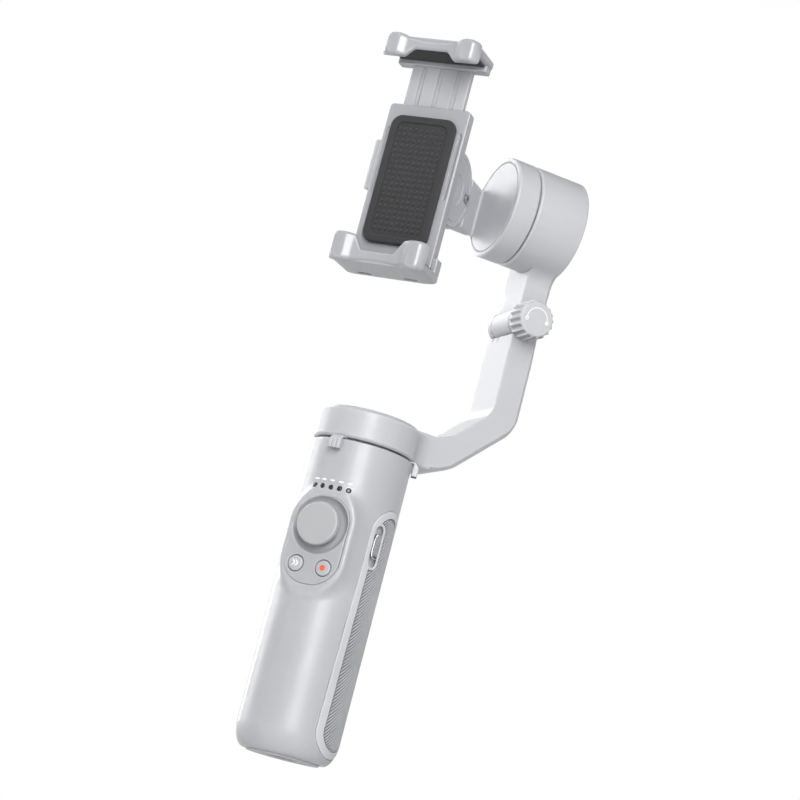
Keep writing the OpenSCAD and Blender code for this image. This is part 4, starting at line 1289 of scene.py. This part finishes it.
def jaw_shape(x, y, v, lobe, sag):
    """A jaw that faces up, with its pad's face at v = 0.

    sag is how deep its underside is hollowed between the lobes.
    """
    u = np.abs(x)
    lobe_plan = np.hypot(u - LOBE_X, y - LOBE_Y) - LOBE_R
    bow = 0.7 * np.clip(1 - (u / 9) ** 2, 0, 1)
    plan = either(lobe_plan, np.maximum(LIP_FRONT + 1.3 + bow - y, u - 15), 1.2)
    plan = np.minimum(plan, np.maximum(LOBE_Y - y, u - LOBE_X - LOBE_R))
    under = -JAW_T + sag * np.clip(1 - (u / 12) ** 2, 0, 1) - v
    rise = np.clip((u - 5.4) / 4.1, 0, 1)
    top_line = lobe * rise ** 2 * (3 - 2 * rise)
    lip = both(v - top_line, y - LIP_BACK, 0.7)
    lip = both(lip, plan, 1.1)
    lip = both(lip, both(under, (u + v * -0.55 - JAW_W - 0.6) * 0.876, 2.0), 1.6)
    column = np.hypot(u - LOBE_X, np.minimum(y - LOBE_Y, 0)) - LOBE_R
    lobe_body = both(both(column, y - LIP_BACK, 0.5), both(v - lobe, -JAW_T - v, 2.0), 1.5)
    lip = either(lip, lobe_body, 1.0)
    lip = both(lip, slab(y, LIP_FRONT, LIP_BACK), 0.1)
    deck = both(both(slab(v, -JAW_T, -PAD_T), u - 17, 1.2), slab(y, LIP_BACK - 1, FRAME_BACK), 0.6)
    under_round = (-JAW_T - v + np.maximum(u - 12, 0) ** 2 * 0.035) * 0.95
    deck = both(deck, under_round, 0.8)
    return either(lip, deck)


def lower_jaw_field(x, y, z):
    v = z - OPEN_LOW
    body = jaw_shape(x, y, v, 4.9, 0.9)
    cheek = block(np.abs(x), y, v, (15, -18.2, -1.5), (17, FRAME_BACK, 3.85), 0.5)
    body = either(body, cheek, 0.3)
    for side in (-1, 1):
        hole = rect(x - side * 8.5, y + 16.6, 2.6, 0.9, 0.85) + np.maximum(v + JAW_T - 0.9, 0)
        body = less(body, hole, 0.25)
    return body


def upper_jaw_field(x, y, z):
    z = z - LIFT
    body = jaw_shape(x, y, OPEN_HIGH - z, 3.0, 1.3)
    wall = block(x, y, z, (-16.5, -18.2, 237.05), (16.5, FRAME_BACK, 240.2), 0.5)
    body = either(body, wall, 0.3)
    return less(body, block(x, y, z, (-11.1, -16.7, 150), (11.1, -14.3, 241.35), 0), 0)


shell("lower_jaw_skin", "clamp", "jaw_grey", "lower_jaw", lower_jaw_field, 0.27, 0.5)
shell("upper_jaw_skin", "sliding_jaw", "jaw_grey", "upper_jaw", upper_jaw_field, 0.27, 0.5,
      box=lifted("upper_jaw"))


def pad_ribs(y):
    return 0.12 + 0.12 * np.cos(2 * pi * y / 1.25)


def lower_pad_field(x, y, z):
    return block(x, y, z + pad_ribs(y), *node_box("lower_pad"), 0.25)


def upper_pad_field(x, y, z):
    return block(x, y, z - LIFT - pad_ribs(y), *node_box("upper_pad"), 0.25)


def back_pad_field(x, y, z):
    mid = (back_lo[2] + back_hi[2]) / 2
    body = both(rect(x, z - mid, 12, 23, 4), slab(y, back_lo[1], back_hi[1]), 0.7)
    well = rect(x, z - mid, 9.4, 20.4, 2.6)
    body = less(body, both(well, y - back_lo[1] - 0.55, 0.1), 0.3)
    near_x, near_z = (x + 1) % 2 - 1, (z - mid + 1) % 2 - 1
    stud = both(np.hypot(near_x, near_z) - 0.6, back_lo[1] + 0.3 - y, 0.25)
    stud = both(both(stud, y - back_lo[1] - 0.7), well + 1.0)
    return either(body, stud)


shell("lower_jaw_pad", "clamp", "pad_rubber", "lower_pad", lower_pad_field, 0.22, 0.5)
shell("upper_jaw_pad", "sliding_jaw", "pad_rubber", "upper_pad", upper_pad_field, 0.22, 0.5,
      box=lifted("upper_pad"))
shell("phone_rest_pad", "clamp", "pad_rubber", "back_pad", back_pad_field, 0.24, 0.5)


def slide_field(x, y, z):
    low, high = lifted("jaw_slide")
    body = block(x, y, z, low, high, 0.35)
    return carve(body, *[(both(stadium(x - side * 6.5, z - 216, 1.6, 46), y - low[1] - 0.35), 0.15)
                         for side in (-1, 0, 1)])


shell("jaw_slide_skin", "sliding_jaw", "cover_grey", "jaw_slide", slide_field, 0.3, 0.4,
      box=lifted("jaw_slide"))


# The springs are a smooth-shaded copy of the CAD's coils, riding on the clamp; on the real clamp they get shorter
# as the slide is pushed down on them.
coils = bpy.data.objects.new("spring_coils", frame["nodes"]["clamp_springs"].data.copy())
coils.data.shade_smooth()
finish_piece(coils, "clamp", MATERIALS["steel"], ["clamp_springs"])
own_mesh(coils)

# ---- Floor, light and camera

FLOOR_Z, FLOOR_R, FLOOR_SIDES = -0.06, 6.0, 96
GLOW_FROM, GLOW_TO = 0.5, 1.9           # metres from the middle
GLOW = 0.36                             # how bright the floor's edge is
VIEW = Vector((-0.4075, 0.9132, 0))     # the way the camera looks, flat


def stage_material(name, colour):
    """Pale paper; it glows a little far out, where the lights don't reach."""
    t = surface(name)
    t.set("Base Color", t.vary(t.noise(3), tint(colour, 0.985), colour))
    t.set("Roughness", t.spread(t.noise(40), 0.3, 0.7, 0.75, 0.85))
    far = t.add("ShaderNodeVectorMath", t.place, operation="LENGTH")
    t.set("Emission Color", (1, 1, 1, 1))
    t.set("Emission Strength", t.spread(far.outputs["Value"], GLOW_FROM, GLOW_TO, 0.0, GLOW))
    return t.owner


floor_mesh = bpy.data.meshes.new("floor")
turns = [2 * pi * i / FLOOR_SIDES for i in range(FLOOR_SIDES)]
floor_mesh.from_pydata([(FLOOR_R * cos(t), FLOOR_R * sin(t), FLOOR_Z) for t in turns], [],
                       [list(range(FLOOR_SIDES))])
floor = bpy.data.objects.new("floor", floor_mesh)
bpy.context.scene.collection.objects.link(floor)
floor.data.materials.append(stage_material("floor_paper", (0.76, 0.76, 0.76)))
floor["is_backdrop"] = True

# The sky is bright behind the object as the camera sees it, and dimmer above and at the sides.
bpy.context.scene.view_settings.view_transform = "Standard"
world = bpy.data.worlds.new("studio")
bpy.context.scene.world = world
sky = Tree(world, "ShaderNodeBackground", "ShaderNodeOutputWorld", "Generated")
split = sky.add("ShaderNodeSeparateXYZ", sky.place)
facing = sky.add("ShaderNodeVectorMath", sky.place, operation="DOT_PRODUCT")
facing.inputs[1].default_value = VIEW
level = sky.spread(split.outputs["Z"], 0.38, 0.55, 1.0, 0.15, "SMOOTHSTEP")
behind = sky.spread(facing.outputs["Value"], 0.5, 0.88, 0.55, 1.0, "SMOOTHSTEP")
sky.set("Strength", sky.math("MULTIPLY", level, behind))
sky.set("Color", (1, 1, 1, 1))

CAMERA_AT = Vector((0.3308, -0.7225, -0.0393))
CAMERA_RIGHT = Vector((0.9044, 0.3470, 0.2483))
CAMERA_UP = Vector((-0.1514, -0.2832, 0.9471))
CAMERA_BACK = Vector((0.3989, -0.8941, -0.2036))
AIM = Vector((0.01, 0.0, 0.13))


def area_light(name, at, width, height, power):
    data = bpy.data.lights.new(name, "AREA")
    data.shape = "RECTANGLE"
    data.size, data.size_y = width, height
    data.energy = power
    made = bpy.data.objects.new(name, data)
    bpy.context.scene.collection.objects.link(made)
    made.location = at
    made.rotation_mode = "QUATERNION"
    made.rotation_quaternion = (Vector(at) - AIM).to_track_quat("Z", "Y")
    return made


def around(degrees, distance, height):
    """A place round the object, measured from the camera's side towards its right."""
    back = Vector((CAMERA_BACK.x, CAMERA_BACK.y, 0)).normalized()
    right = Vector((-back.y, back.x, 0))
    t = radians(degrees)
    return AIM + (back * cos(t) + right * sin(t)) * distance + Vector((0, 0, height))


for name, place, width, height, power in (("front_strip", (2, 1.15, 0.38), 0.4, 0.95, 11.5),
                                          ("left_strip", (-122, 1.15, 0.38), 0.3, 0.95, 6.5),
                                          ("left_back_strip", (-152, 1.15, 0.38), 0.36, 0.95, 5),
                                          ("high_left", (-80, 0.45, 1.1), 0.6, 0.6, 2.5),
                                          ("high_right", (22, 0.9, 0.9), 0.5, 0.5, 2.5)):
    area_light(name, around(*place), width, height, power)

camera_data = bpy.data.cameras.new("camera")
camera_data.lens = 108
camera_data.sensor_width = 36
camera = bpy.data.objects.new("camera", camera_data)
bpy.context.scene.collection.objects.link(camera)
turn = Matrix((CAMERA_RIGHT, CAMERA_UP, CAMERA_BACK)).transposed()
camera.rotation_mode = "QUATERNION"
camera.rotation_quaternion = turn.to_quaternion()
camera.location = CAMERA_AT
camera_data.clip_start, camera_data.clip_end = 0.01, 50
bpy.context.scene.camera = camera

low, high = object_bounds()
